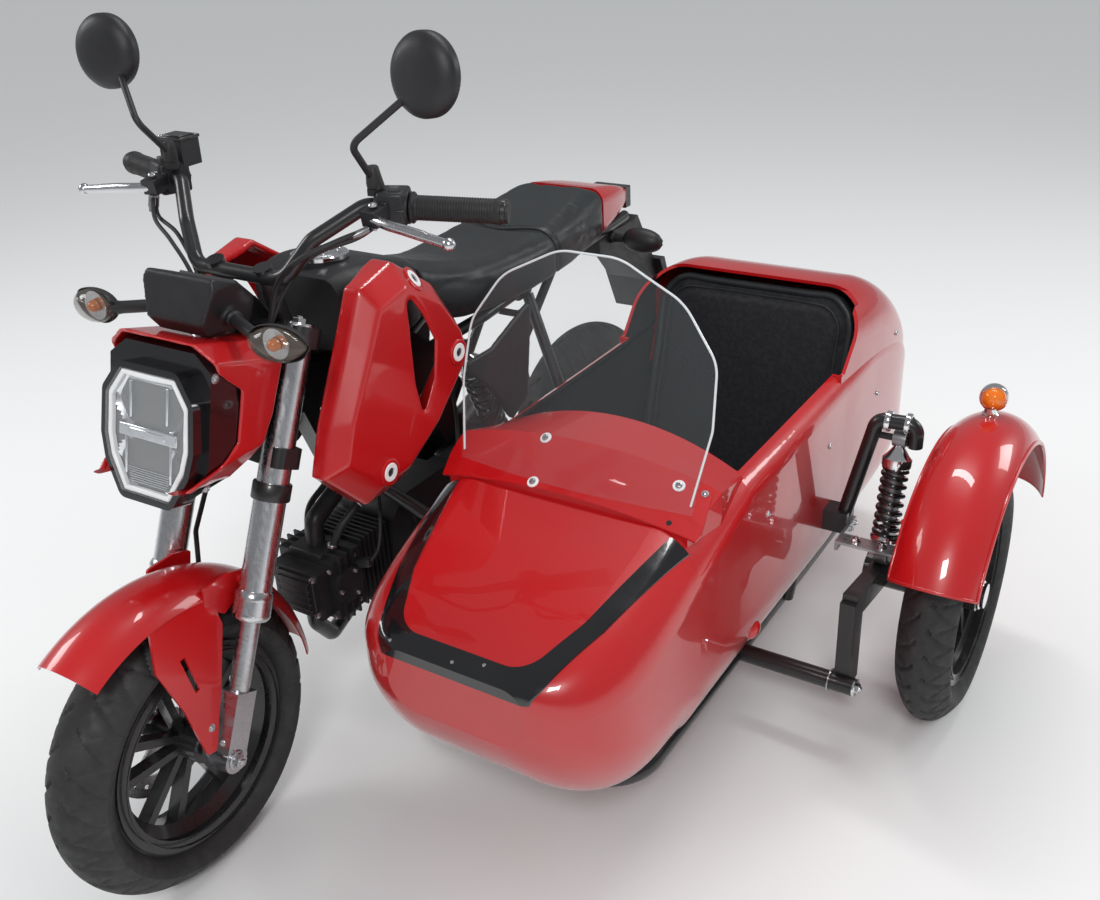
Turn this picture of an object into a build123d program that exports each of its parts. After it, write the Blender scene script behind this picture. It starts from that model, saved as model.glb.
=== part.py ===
from build123d import *
import os
from math import atan2, cos, hypot, radians, sin, sqrt, tan

# Sidecar motorcycle, millimetres, degrees.
# +X is the vehicle's left, the sidecar's side. It faces -Y, and +Z is up.
# Sizes are laid out from the motorcycle: x = 0 is its centre plane, y = 0 its
# front axle and z = 0 the floor. ORIGIN moves that layout into the part's frame.
ORIGIN = (-310.0, -659.7, 0.0)

# Wheels
WHEELBASE = 1200.0
FRONT_R = 236.0
FRONT_TYRE_HALF = 58.0
REAR_R = 243.0
REAR_TYRE_HALF = 64.0
SIDE_R = 236.0
SIDE_TYRE_HALF = 46.0
SIDE_X = 905.0
SIDE_Y = 945.0
BEAD_R = 152.0
RIM_THICK = 7.0
RIM_LIP = 11.0
AXLE_R = 7.5
AXLE_RUN = 0.05

# Steering
RAKE = 25.0
FORK_AHEAD = 26.33
TRAIL = FRONT_R * tan(radians(RAKE)) - FORK_AHEAD / cos(radians(RAKE))
STEER_REST = 3.5
FORK_X = 87.0
STANCHION_R = 15.5
FORK_TUBE_R = 24.0
COLLAR_R = 28.0
HEAD_LOW = 655.0
HEAD_TOP = 775.0
HEAD_R = 25.0
STEM_R = 12.5
STEER_ROOM = 133.0
CLAMP_LOW_Z = 640.0
CLAMP_TOP_Z = 800.0
BAR_R = 11.0
GRIP_R = 16.0

# Sidecar body
SIDE_MID = 438.0
WALL = 6.0
SHEET = 3.0
HULL_FLOOR = 147.0
RIM_Z = 576.0
COCKPIT_HALF = 203.0
COCKPIT_FRONT = 588.0
COCKPIT_REAR = 1120.0
SCUTTLE_WALL = 18.0
SCREEN_R = 1000.0
SCREEN_LEAN = 16.0
SCREEN_Y = 430.0
SCREEN_Z = 620.0
SCREEN_THICK = 3.0

# Sidecar chassis
RAIL_R = 16.0
RAIL_HALF = 150.0
CHASSIS_FRONT = 330.0
CHASSIS_REAR = 1300.0
ARM_X = 768.0
ARM_PIVOT_Y = 730.0
SHOCK_X = 782.0
SHOCK_LOW_Y = 900.0
SHOCK_TOP_Y = 947.0
SHOCK_TOP_Z = 500.0
OUTRIG_Y = 930.0
OUTRIG_Z = 330.0
OUTRIG_X = 712.0
SIDE_GUARD_R = SIDE_R + 82.0
SIDE_GUARD_DROP = 44.0
SIT = 0.3


def axis_point(z):
    """Point of the steering axis at height z."""
    return (0.0, -TRAIL + z * tan(radians(RAKE)), z)


def fork_y(z):
    """Fore and aft place of the fork legs' centre line at height z."""
    return (z - FRONT_R) * tan(radians(RAKE))


STEER_AXIS = Axis(axis_point(0.0), (0.0, sin(radians(RAKE)), cos(radians(RAKE))))


def rod(p, q, radius):
    start = Vector(*p)
    end = Vector(*q)
    length = (end - start).length
    return extrude(Plane(origin=start, z_dir=end - start) * Circle(radius), amount=length)


def pipe(p, q, radius, bore):
    start = Vector(*p)
    end = Vector(*q)
    ring = Circle(radius) - Circle(bore)
    return extrude(Plane(origin=start, z_dir=end - start) * ring, amount=(end - start).length)


def bent_rod(points, radius, bend):
    path = FilletPolyline(*points, radius=bend)
    return sweep(Plane(origin=path @ 0, z_dir=path % 0) * Circle(radius), path=path)


def bar(p, q, wide, deep):
    """Rectangular bar from p to q: wide along X, deep across it."""
    start = Vector(*p)
    end = Vector(*q)
    way = end - start
    plane = Plane(origin=start, x_dir=(1, 0, 0), z_dir=way)
    return extrude(plane * Rectangle(wide, deep), amount=way.length)


def side_plane(x):
    """Plane across the vehicle at x, with Y and Z as its axes."""
    return Plane(origin=(x, 0, 0), x_dir=(0, 1, 0), z_dir=(1, 0, 0))


def cross_plane(x, y):
    """Plane facing forward at y, with X from x and Z as its axes."""
    return Plane(origin=(x, y, 0), x_dir=(1, 0, 0), z_dir=(0, -1, 0))


def plate(points, x0, x1, radius=0.0):
    """Outline in (y, z), as thick as x0 to x1."""
    if radius > 0:
        outline = FilletPolyline(*points, radius=radius, close=True)
    else:
        outline = Polyline(*points, close=True)
    return extrude(side_plane(x0) * make_face(outline), amount=x1 - x0)


def block(x0, x1, y0, y1, z0, z1):
    return Pos((x0 + x1) / 2, (y0 + y1) / 2, (z0 + z1) / 2) * Box(x1 - x0, y1 - y0, z1 - z0)


def disc(x0, x1, y, z, radius):
    return rod((x0, y, z), (x1, y, z), radius)


def ring_x(profile, y, z):
    """Closed (x, radius) outline turned about the X axis through (y, z)."""
    face = make_face(Polyline(*profile, close=True))
    return Pos(0, y, z) * revolve(face, axis=Axis.X)


def both_sides(solid):
    return [solid, mirror(solid, about=Plane.YZ)]


def round_box(y, mid, half, top, bottom, r_top, r_bottom):
    """Section facing forward: a rectangle with round shoulders and a round belly."""
    corners = [(-half, bottom), (half, bottom), (half, top), (-half, top)]
    radii = [r_bottom, r_bottom, r_top, r_top]
    outline = FilletPolyline(*corners, radius=radii, close=True)
    return cross_plane(mid, y) * make_face(outline)


def arch(y, mid, half, end_z, mid_z, low_z):
    """Section facing forward: an arched top on upright sides."""
    top = ThreePointArc((-half, end_z), (0, mid_z), (half, end_z))
    sides = Polyline((half, end_z), (half, low_z), (-half, low_z), (-half, end_z))
    return cross_plane(mid, y) * make_face([top, sides])


def arch_strip(y, mid, half, end_z, mid_z, thick):
    """Section facing forward: a bent strip of sheet."""
    top = ThreePointArc((-half, end_z), (0, mid_z), (half, end_z))
    low = ThreePointArc((half, end_z - thick), (0, mid_z - thick), (-half, end_z - thick))
    ends = [Line((half, end_z), (half, end_z - thick)), Line((-half, end_z - thick), (-half, end_z))]
    return cross_plane(mid, y) * make_face([top, low] + ends)


def guard(mid, y, z, radius, half, drop, thick, start, sweep_deg):
    """Mudguard: a domed strip turned about the X axis through (y, z)."""
    turn = radians(start)
    plane = Plane(origin=(mid, y, z), x_dir=(1, 0, 0), z_dir=(0, -sin(turn), cos(turn)))
    low = radius - drop
    outer = ThreePointArc((-half, low), (0, radius), (half, low))
    inner = ThreePointArc((half - thick, low), (0, radius - thick), (-half + thick, low))
    ends = [Line((half, low), (half - thick, low)), Line((-half + thick, low), (-half, low))]
    face = plane * make_face([outer, inner] + ends)
    return revolve(face, axis=Axis((mid, y, z), (1, 0, 0)), revolution_arc=sweep_deg)


# Wheels: a cast rim with forked spokes, a tyre on its two bead seats

def tyre(mid, y, radius, half):
    bead = half * 0.62
    seat = BEAD_R + 2.0
    crown = ThreePointArc((-half, radius * 0.83), (0, radius), (half, radius * 0.83))
    wall = seat + RIM_LIP + 2 * SIT
    right = Polyline((half, radius * 0.83), (half * 0.93, wall + 8), (bead, wall), (bead, seat), (-bead, seat))
    left = Polyline((-bead, seat), (-bead, wall), (-half * 0.93, wall + 8), (-half, radius * 0.83))
    face = make_face([crown, right, left])
    return Pos(mid, y, radius) * revolve(face, axis=Axis.X)


def rim(mid, y, radius, half, hub_half, hub_r, spokes, fork):
    """Cast wheel: rim barrel with two lips, hub and forked spokes."""
    bead = half * 0.62
    seat = BEAD_R + 2.0 - SIT
    lip = bead + 4.0
    low = seat - RIM_THICK
    barrel = [
        (-lip, low - 2), (-lip, seat + RIM_LIP), (-bead - SIT, seat + RIM_LIP), (-bead - SIT, seat),
        (bead + SIT, seat), (bead + SIT, seat + RIM_LIP), (lip, seat + RIM_LIP), (lip, low - 2),
        (bead - 10, low), (12, low - 16), (-12, low - 16), (-bead + 10, low),
    ]
    solid = ring_x(barrel, y, radius) + disc(-hub_half, hub_half, y, radius, hub_r)
    reach = low - 14
    for index in range(spokes):
        turn = Rotation(360 * index / spokes, 0, 0)
        for side in (-1, 1):
            leg = plate(
                [(side * 4, hub_r - 4), (side * 16, hub_r - 4), (side * fork, reach), (side * (fork - 15), reach)],
                -11, 11,
            )
            solid += Pos(0, y, radius) * turn * leg
    solid -= disc(-hub_half - 1, hub_half + 1, y, radius, AXLE_R + AXLE_RUN)
    return Pos(mid, 0, 0) * solid


def brake_disc(x, y, z, radius, hub_r, thick, holes):
    """Drilled brake disc on its carrier."""
    face = Circle(radius) - Circle(radius * 0.68)
    face -= PolarLocations(radius * 0.84, holes) * Circle(4)
    for index in range(5):
        face += Rot(0, 0, 72 * index) * Pos((hub_r + radius * 0.7) / 2, 0) * Rectangle(radius * 0.72 - hub_r, 16)
    face += Circle(hub_r + 8)
    face -= Circle(hub_r + SIT)
    return extrude(Plane(origin=(x, y, z), x_dir=(0, 1, 0), z_dir=(1, 0, 0)) * face, amount=thick)


def sprocket(x, y, z, radius, teeth, bore, thick):
    face = Circle(radius - 4)
    face += PolarLocations(radius - 3, teeth) * RegularPolygon(5.0, 3)
    face -= PolarLocations(radius * 0.66, 6) * Circle(radius * 0.16)
    face -= Circle(bore)
    return extrude(Plane(origin=(x, y, z), x_dir=(0, 1, 0), z_dir=(1, 0, 0)) * face, amount=thick)


FRONT_HUB_HALF = 44.0
FRONT_HUB_R = 26.0
REAR_HUB_HALF = 52.0
REAR_HUB_R = 32.0
SIDE_HUB_HALF = 38.0
SIDE_HUB_R = 30.0
DISC_R = 110.0
DISC_THICK = 4.0
REAR_DISC_R = 95.0
CHAIN_X = 78.0
CHAIN_WIDE = 14.0
SPROCKET_R = 66.0
SPROCKET_TEETH = 34
CHAIN_ROOM = 8.0
CHAIN_FRONT_R = 30.0
DRIVE_Y = 704.0
DRIVE_Z = 332.0


def front_wheel_nodes():
    wheel = rim(0, 0, FRONT_R, FRONT_TYRE_HALF, FRONT_HUB_HALF, FRONT_HUB_R, 5, 40)
    rotor = brake_disc(-FRONT_HUB_HALF - DISC_THICK - SIT, 0, FRONT_R, DISC_R, FRONT_HUB_R, DISC_THICK, 20)
    rotor -= disc(-70, 70, 0, FRONT_R, AXLE_R + 8)
    boss = disc(-FRONT_HUB_HALF - DISC_THICK - 2, -FRONT_HUB_HALF, 0, FRONT_R, FRONT_HUB_R)
    boss -= disc(-70, 70, 0, FRONT_R, AXLE_R + AXLE_RUN)
    return {
        "front_rim": [wheel + boss],
        "front_tyre": [tyre(0, 0, FRONT_R, FRONT_TYRE_HALF)],
        "front_brake_disc": [rotor],
    }


def rear_wheel_nodes():
    wheel = rim(0, WHEELBASE, REAR_R, REAR_TYRE_HALF, REAR_HUB_HALF, REAR_HUB_R, 5, 40)
    boss = disc(REAR_HUB_HALF, CHAIN_X - 4, WHEELBASE, REAR_R, REAR_HUB_R)
    boss += disc(-REAR_HUB_HALF - 10, -REAR_HUB_HALF, WHEELBASE, REAR_R, REAR_HUB_R)
    boss -= disc(-90, 90, WHEELBASE, REAR_R, AXLE_R + AXLE_RUN)
    rotor = brake_disc(-REAR_HUB_HALF - 8, WHEELBASE, REAR_R, REAR_DISC_R, REAR_HUB_R, DISC_THICK, 16)
    gear = sprocket(CHAIN_X - 4 + SIT, WHEELBASE, REAR_R, SPROCKET_R, SPROCKET_TEETH, AXLE_R + 8, 6)
    return {
        "rear_rim": [wheel + boss],
        "rear_tyre": [tyre(0, WHEELBASE, REAR_R, REAR_TYRE_HALF)],
        "rear_disc_and_sprocket": [rotor, gear],
    }


def sidecar_wheel_nodes():
    wheel = rim(SIDE_X, SIDE_Y, SIDE_R, SIDE_TYRE_HALF, SIDE_HUB_HALF, SIDE_HUB_R, 5, 40)
    cap = disc(SIDE_X + SIDE_HUB_HALF, SIDE_X + SIDE_HUB_HALF + 12, SIDE_Y, SIDE_R, 22)
    cap -= disc(SIDE_X + SIDE_HUB_HALF - 1, SIDE_X + SIDE_HUB_HALF + 6, SIDE_Y, SIDE_R, AXLE_R + 6)
    return {
        "sidecar_rim": [wheel],
        "sidecar_tyre": [tyre(SIDE_X, SIDE_Y, SIDE_R, SIDE_TYRE_HALF)],
        "sidecar_hub_cap": [cap],
    }


# Fork, lamp, bars and front mudguard, drawn straight ahead and turned at the end

def leg_point(side, z):
    return (side * FORK_X, fork_y(z), z)


COLLAR_LOW = 435.0
COLLAR_TOP = 462.0
TUBE_TOP = 826.0
CLAMP_DEEP = 30.0
BAR_BEND = (175.0, 345.0, 992.0)
BAR_END = (355.0, 417.0, 985.0)
BAR_Y = 262.0
BAR_Z = 896.0
LAMP_LEAN = 14.6
LAMP_Y = 40.0
LAMP_Z = 730.0
LAMP_BACK = 175.0
BEZEL = 9.0
COWL_HALF = 98.0
COWL_WALL = 4.0
METER_Y = 226.0


def clamp_plate(z):
    """Fork clamp: a plate square to the steering axis with three bores."""
    centre = Plane(origin=axis_point(z), x_dir=(1, 0, 0), z_dir=STEER_AXIS.direction)
    back, front = 20 - FORK_AHEAD, -26 - FORK_AHEAD
    outline = [(-FORK_X - 31, back), (-FORK_X - 24, front), (-40, front + 16), (40, front + 16),
               (FORK_X + 24, front), (FORK_X + 31, back), (40, 32), (-40, 32)]
    face = make_face(FilletPolyline(*outline, radius=14, close=True))
    face -= Pos(FORK_X, -FORK_AHEAD) * Circle(FORK_TUBE_R + SIT)
    face -= Pos(-FORK_X, -FORK_AHEAD) * Circle(FORK_TUBE_R + SIT)
    return extrude(centre * face, amount=CLAMP_DEEP / 2, both=True)


def cowl_section(y, inset):
    """Octagon round the headlamp, facing forward at y; its top slopes down to the rear."""
    top = 860 - 0.3 * (y - 90) - inset
    half = COWL_HALF - inset
    low = 640 + inset
    corners = [(-half + 36, low), (half - 36, low), (half, low + 50), (half, top - 22), (half - 30, top),
               (-half + 30, top), (-half, top - 22), (-half, low + 50)]
    return cross_plane(0, y) * make_face(Polyline(*corners, close=True))


def bar_point(side, x):
    """Point of the handlebar's straight end at x from the centre plane."""
    part = (x - BAR_BEND[0]) / (BAR_END[0] - BAR_BEND[0])
    y = BAR_BEND[1] + part * (BAR_END[1] - BAR_BEND[1])
    z = BAR_BEND[2] + part * (BAR_END[2] - BAR_BEND[2])
    return Vector(side * x, y, z)


SIGNAL_HALF = 42.0
SIGNAL_R = 24.0


def signal_lamp(reach):
    """Indicator: an almond turned about X, blunt at its inner end."""
    shape = make_face([
        ThreePointArc((-reach, 9), (-reach * 0.1, SIGNAL_R), (reach, 3)),
        Polyline((reach, 3), (reach, 0), (-reach, 0), (-reach, 9)),
    ])
    return revolve(shape, axis=Axis.X)


def steering_nodes():
    nodes = {}
    stem = rod(axis_point(CLAMP_LOW_Z - 4), axis_point(CLAMP_TOP_Z), STEM_R)
    lamp_turn = Pos(0, LAMP_Y, LAMP_Z) * Rotation(-LAMP_LEAN, 0, 0) * Pos(0, -LAMP_Y, -LAMP_Z)
    clamps = clamp_plate(CLAMP_LOW_Z) + clamp_plate(CLAMP_TOP_Z) + stem
    for side in (-1, 1):
        clamps += rod((side * 45, axis_point(815)[1] - 8, 812), (side * 45, BAR_Y, BAR_Z + 14), 14)
        clamps += bar((side * 25, 183, 714), (side * 25, 190, 655), 20, 8)
        clamps += bar((side * 20, 181, 775), (side * 20, 262, 812), 20, 8)
    clamps -= disc(-60, 60, BAR_Y, BAR_Z, BAR_R + SIT)
    clamps += block(-46, 46, LAMP_BACK + SIT, LAMP_BACK + 6, 692, 788)
    clamps += plate([(METER_Y + SIT + 1, 842), (METER_Y + SIT + 6, 868), (258, 866), (286, 824), (258, 818)],
                    -28, 28)
    nodes["fork_clamps"] = [clamps]

    tubes = []
    legs = []
    for side in (-1, 1):
        outer = pipe(leg_point(side, COLLAR_LOW), leg_point(side, TUBE_TOP), FORK_TUBE_R, STANCHION_R + SIT)
        outer += pipe(leg_point(side, COLLAR_LOW), leg_point(side, COLLAR_TOP), COLLAR_R, STANCHION_R + SIT)
        tubes.append(outer)
        leg = rod(leg_point(side, FRONT_R + 66), leg_point(side, TUBE_TOP - 8), STANCHION_R)
        foot_top = FRONT_R + 94
        foot = bar((side * FORK_X, fork_y(foot_top), foot_top), (side * FORK_X, 0, FRONT_R), 34, 40)
        foot += disc(side * FORK_X - 17, side * FORK_X + 17, 0, FRONT_R, 22)
        foot -= block(side * FORK_X - 18, side * FORK_X + 18, -60, 60, FRONT_R - 86, FRONT_R - 22)
        legs.append(leg + foot)
    axle = disc(-FORK_X - 18, FORK_X + 18, 0, FRONT_R, AXLE_R)
    nut = disc(FORK_X + 17, FORK_X + 24, 0, FRONT_R, 12)
    spacers = pipe((FRONT_HUB_HALF + 5, 0, FRONT_R), (FORK_X - 17, 0, FRONT_R), 14, AXLE_R)
    spacers += pipe((-FRONT_HUB_HALF - 12, 0, FRONT_R), (-FORK_X + 17, 0, FRONT_R), 14, AXLE_R)
    nodes["fork_tubes"] = tubes
    nodes["fork_legs_and_axle"] = [legs[0] + legs[1] + axle + nut + spacers]

    # Headlamp: lens, bezel and shell lean back at the top
    lens_outline = [(-50, 820), (50, 820), (76, 785), (78, 724), (70, 690), (43, 645), (-43, 645), (-70, 690),
                    (-78, 724), (-76, 785)]
    lens_face = make_face(FilletPolyline(*lens_outline, radius=8, close=True))
    lens = extrude(cross_plane(0, LAMP_Y + 14) * lens_face, amount=14)
    bezel = extrude(cross_plane(0, LAMP_Y + 40) * offset(lens_face, BEZEL), amount=36)
    pocket = extrude(cross_plane(0, LAMP_Y + 14 + SIT) * offset(lens_face, SIT), amount=60)
    throat = extrude(cross_plane(0, LAMP_Y + 32) * offset(lens_face, -12), amount=60)
    body = extrude(cowl_section(130, COWL_WALL + SIT), amount=90)
    body &= lamp_turn * block(-120, 120, LAMP_Y + 26, LAMP_Y + 260, 500, 1000)
    body += block(-48, 48, 128, LAMP_BACK, 685, 795)
    nodes["headlamp_shell"] = [lamp_turn * (bezel - pocket) + (body - lamp_turn * throat)]
    nodes["headlamp_lens"] = [lamp_turn * lens]

    # Red lamp cowl: a shell round the lamp's body, drawn to its side outline
    cowl_outline = [(90, 866), (101, 818), (137, 781), (114, 711), (74, 688), (37, 680), (6, 664), (8, 636),
                    (60, 634), (110, 648), (147, 670), (188, 722), (222, 790), (224, 824), (160, 852)]
    cowl = loft([cowl_section(-10, 0), cowl_section(232, 0)], ruled=True)
    cowl -= loft([cowl_section(-12, COWL_WALL), cowl_section(234, COWL_WALL)], ruled=True)
    cowl -= block(-64, 64, -20, 240, 600, 700)
    nodes["headlamp_cowl"] = [cowl & plate(cowl_outline, -120, 120, radius=6)]

    meter_outline = [(142, 846), (128, 868), (150, 930), (196, 910), (METER_Y + 6, 872), (METER_Y, 838)]
    meter_front = [(-42, 836), (42, 836), (66, 915), (56, 940), (-56, 940), (-66, 915)]
    meter = plate(meter_outline, -74, 74, radius=6)
    meter &= extrude(cross_plane(0, 260) * make_face(Polyline(*meter_front, close=True)), amount=160)
    signal_root = Vector(62, 176, 866)
    signal_tip = Vector(132, 146, 860)
    signal_way = (signal_tip - signal_root).normalized()
    for side in (-1, 1):
        root = Vector(side * signal_root.X, signal_root.Y, signal_root.Z)
        inside = root - Vector(side * signal_way.X, signal_way.Y, signal_way.Z) * 30
        meter += rod(tuple(inside), tuple(root), 12)
    nodes["meter"] = [meter]

    # Handlebar: one bent tube through both grips
    bar_points = [(-BAR_END[0], *BAR_END[1:]), (-BAR_BEND[0], *BAR_BEND[1:]), (-118, 290, 950), (-82, BAR_Y, BAR_Z),
                  (82, BAR_Y, BAR_Z), (118, 290, 950), BAR_BEND, BAR_END]
    nodes["handlebar"] = [bent_rod(bar_points, BAR_R, 32)]
    grips = []
    controls = []
    mirrors = []
    for side in (-1, 1):
        inner = bar_point(side, 235)
        outer = bar_point(side, BAR_END[0] + SIT)
        grip = pipe(inner, outer, GRIP_R, BAR_R + SIT)
        grip += rod(bar_point(side, BAR_END[0] + SIT), bar_point(side, BAR_END[0] + 6), GRIP_R)
        grips.append(grip)
        box_in = bar_point(side, 190)
        switch = pipe(box_in, inner - (inner - box_in).normalized() * 2, 23, BAR_R + SIT)
        lever = bent_rod([(side * 200, 318, 984), (side * 240, 306, 982), (side * 345, 300, 970)], 5.5, 30)
        perch = bar((side * 208, 338, 990), (side * 206, 308, 984), 26, 22)
        control = switch + lever + perch
        if side < 0:
            control += block(-232, -186, 366, 404, 1004, 1044)
        controls.append(control)
        seat_point = bar_point(side, 197)
        neck = rod(seat_point + Vector(0, -4, 25.2), (side * 192, 348, 1036), 9)
        arm = bent_rod([(side * 190, 346, 1030), (side * 196, 300, 1085), (side * 288, 360, 1168)], 5.0, 18)
        head = Plane(origin=(side * 288, 356, 1171), z_dir=(side * -0.12, -1, 0.1))
        shell = extrude(head * Circle(54), amount=9) + extrude(head.offset(9) * Circle(54), amount=14, taper=45)
        mirrors.append(neck + arm + shell)
    nodes["grips"] = grips
    nodes["hand_controls"] = controls
    nodes["mirrors"] = mirrors

    signals = []
    for side in (-1, 1):
        way = Vector(side * signal_way.X, signal_way.Y, signal_way.Z)
        root = Vector(side * signal_root.X, signal_root.Y, signal_root.Z) + way * SIT
        tip = Vector(side * signal_tip.X, signal_tip.Y, signal_tip.Z)
        stalk = rod(tuple(root), tuple(tip + way * 20), 8)
        lamp = signal_lamp(side * SIGNAL_HALF)
        signals.append(stalk + Pos(side * 172, 141, 860) * Rotation(0, 0, side * 8) * lamp)
    nodes["front_indicators"] = signals

    # Front mudguard, round a centre a little ahead of the axle
    guard_y = -35.0
    guard_z = FRONT_R - 4
    guard_r = FRONT_R + 58
    crown = guard_z + guard_r
    shell = guard(0, guard_y, guard_z, guard_r, 57, 34, 3.0, 6, 113)
    cheek_points = [(-60, crown - 28), (50, crown - 40), (58, crown - 94), (22, FRONT_R + 104), (2, FRONT_R + 64),
                    (-16, FRONT_R + 22), (-34, FRONT_R + 26), (-48, FRONT_R + 114), (-72, crown - 96)]
    hinge_z = crown - 56
    left = plate(cheek_points, 53.5, 57.5, radius=8)
    left -= bar((55, -25, hinge_z - 46), (55, -17, hinge_z - 106), 30, 9)
    left = Pos(57, 0, hinge_z) * Rotation(0, -8, 0) * Pos(-57, 0, -hinge_z) * left
    left += plate([(36, hinge_z), (70, hinge_z - 30), (118, hinge_z - 8), (124, hinge_z + 18), (90, hinge_z + 30),
                   (40, hinge_z + 30)], 53.5, 57.5, radius=5)
    left += disc(56, FORK_X - FORK_TUBE_R - SIT, fork_y(hinge_z + 8), hinge_z + 8, 9)
    fender = shell + left + mirror(left, about=Plane.YZ)
    nodes["front_mudguard"] = [fender]

    face = -FORK_X + 17 + SIT
    caliper = plate([(62, FRONT_R - 30), (114, FRONT_R - 22), (130, FRONT_R + 34), (104, FRONT_R + 82),
                     (54, FRONT_R + 62)], face, -24, radius=6)
    caliper -= disc(-FRONT_HUB_HALF - DISC_THICK - 6, -FRONT_HUB_HALF + 6, 0, FRONT_R, DISC_R + 5)
    caliper += block(face, face + 11, 26, 70, FRONT_R + 26, FRONT_R + 54)
    hose = bent_rod([(-64, 96, 300), (-70, 140, 380), (-98, 178, 480), (-86, 222, 575), (-52, 236, 604)], 4, 22)
    nodes["front_brake"] = [caliper + hose]
    return nodes


# Motorcycle frame, engine and fixed bodywork

PIVOT_Y = 745.0
PIVOT_Z = 330.0
CYLINDER_BACK = 448.0
FIN_PITCH = 11.0
FINS = 7
CASE_HALF = 69.0
HEAD_FACE_Y = 270.0
RAIL_LOW = (760.0, 672.0)
RAIL_HIGH = (1290.0, 722.0)
SEAT_RAIL_R = 11.0
HANGER_X = 60.0
HANGER_Y = 398.0
HANGER_Z = 512.0
SWING_HALF = 100.0
BRACE_Y = (PIVOT_Y + 55 + WHEELBASE - REAR_R) / 2
BRACE_HALF = 20.0
EYE_Z = PIVOT_Z + 14 + SIT
TOP_EYE_Y = 762.0
TOP_EYE_Z = 602.0
TANK_FLOOR = 745.0


# Columns: y, half width, top, lift of the underside, shoulder radius
SEAT = [
    (585, 70, 828, 62, 26),
    (690, 104, 792, 22, 30),
    (820, 122, 780, 4, 34),
    (960, 126, 794, 1, 34),
    (1140, 104, 826, 0, 34),
]
TAIL_FRONT = 1142.0


def rail_z(y):
    """Height of the seat rails' centre line at y."""
    return RAIL_LOW[1] + (y - RAIL_LOW[0]) * (RAIL_HIGH[1] - RAIL_LOW[1]) / (RAIL_HIGH[0] - RAIL_LOW[0])


def drawn_in(outline, x0, x1, x2):
    """Side panel block: straight from x0 to x1, drawn in towards its face at x2."""
    small = [(y * 0.86 + 56, z * 0.8 + 142) for y, z in outline]
    return loft([
        side_plane(x0) * make_face(Polyline(*outline, close=True)),
        side_plane(x1) * make_face(Polyline(*outline, close=True)),
        side_plane(x2) * make_face(Polyline(*small, close=True)),
    ], ruled=True)


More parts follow.
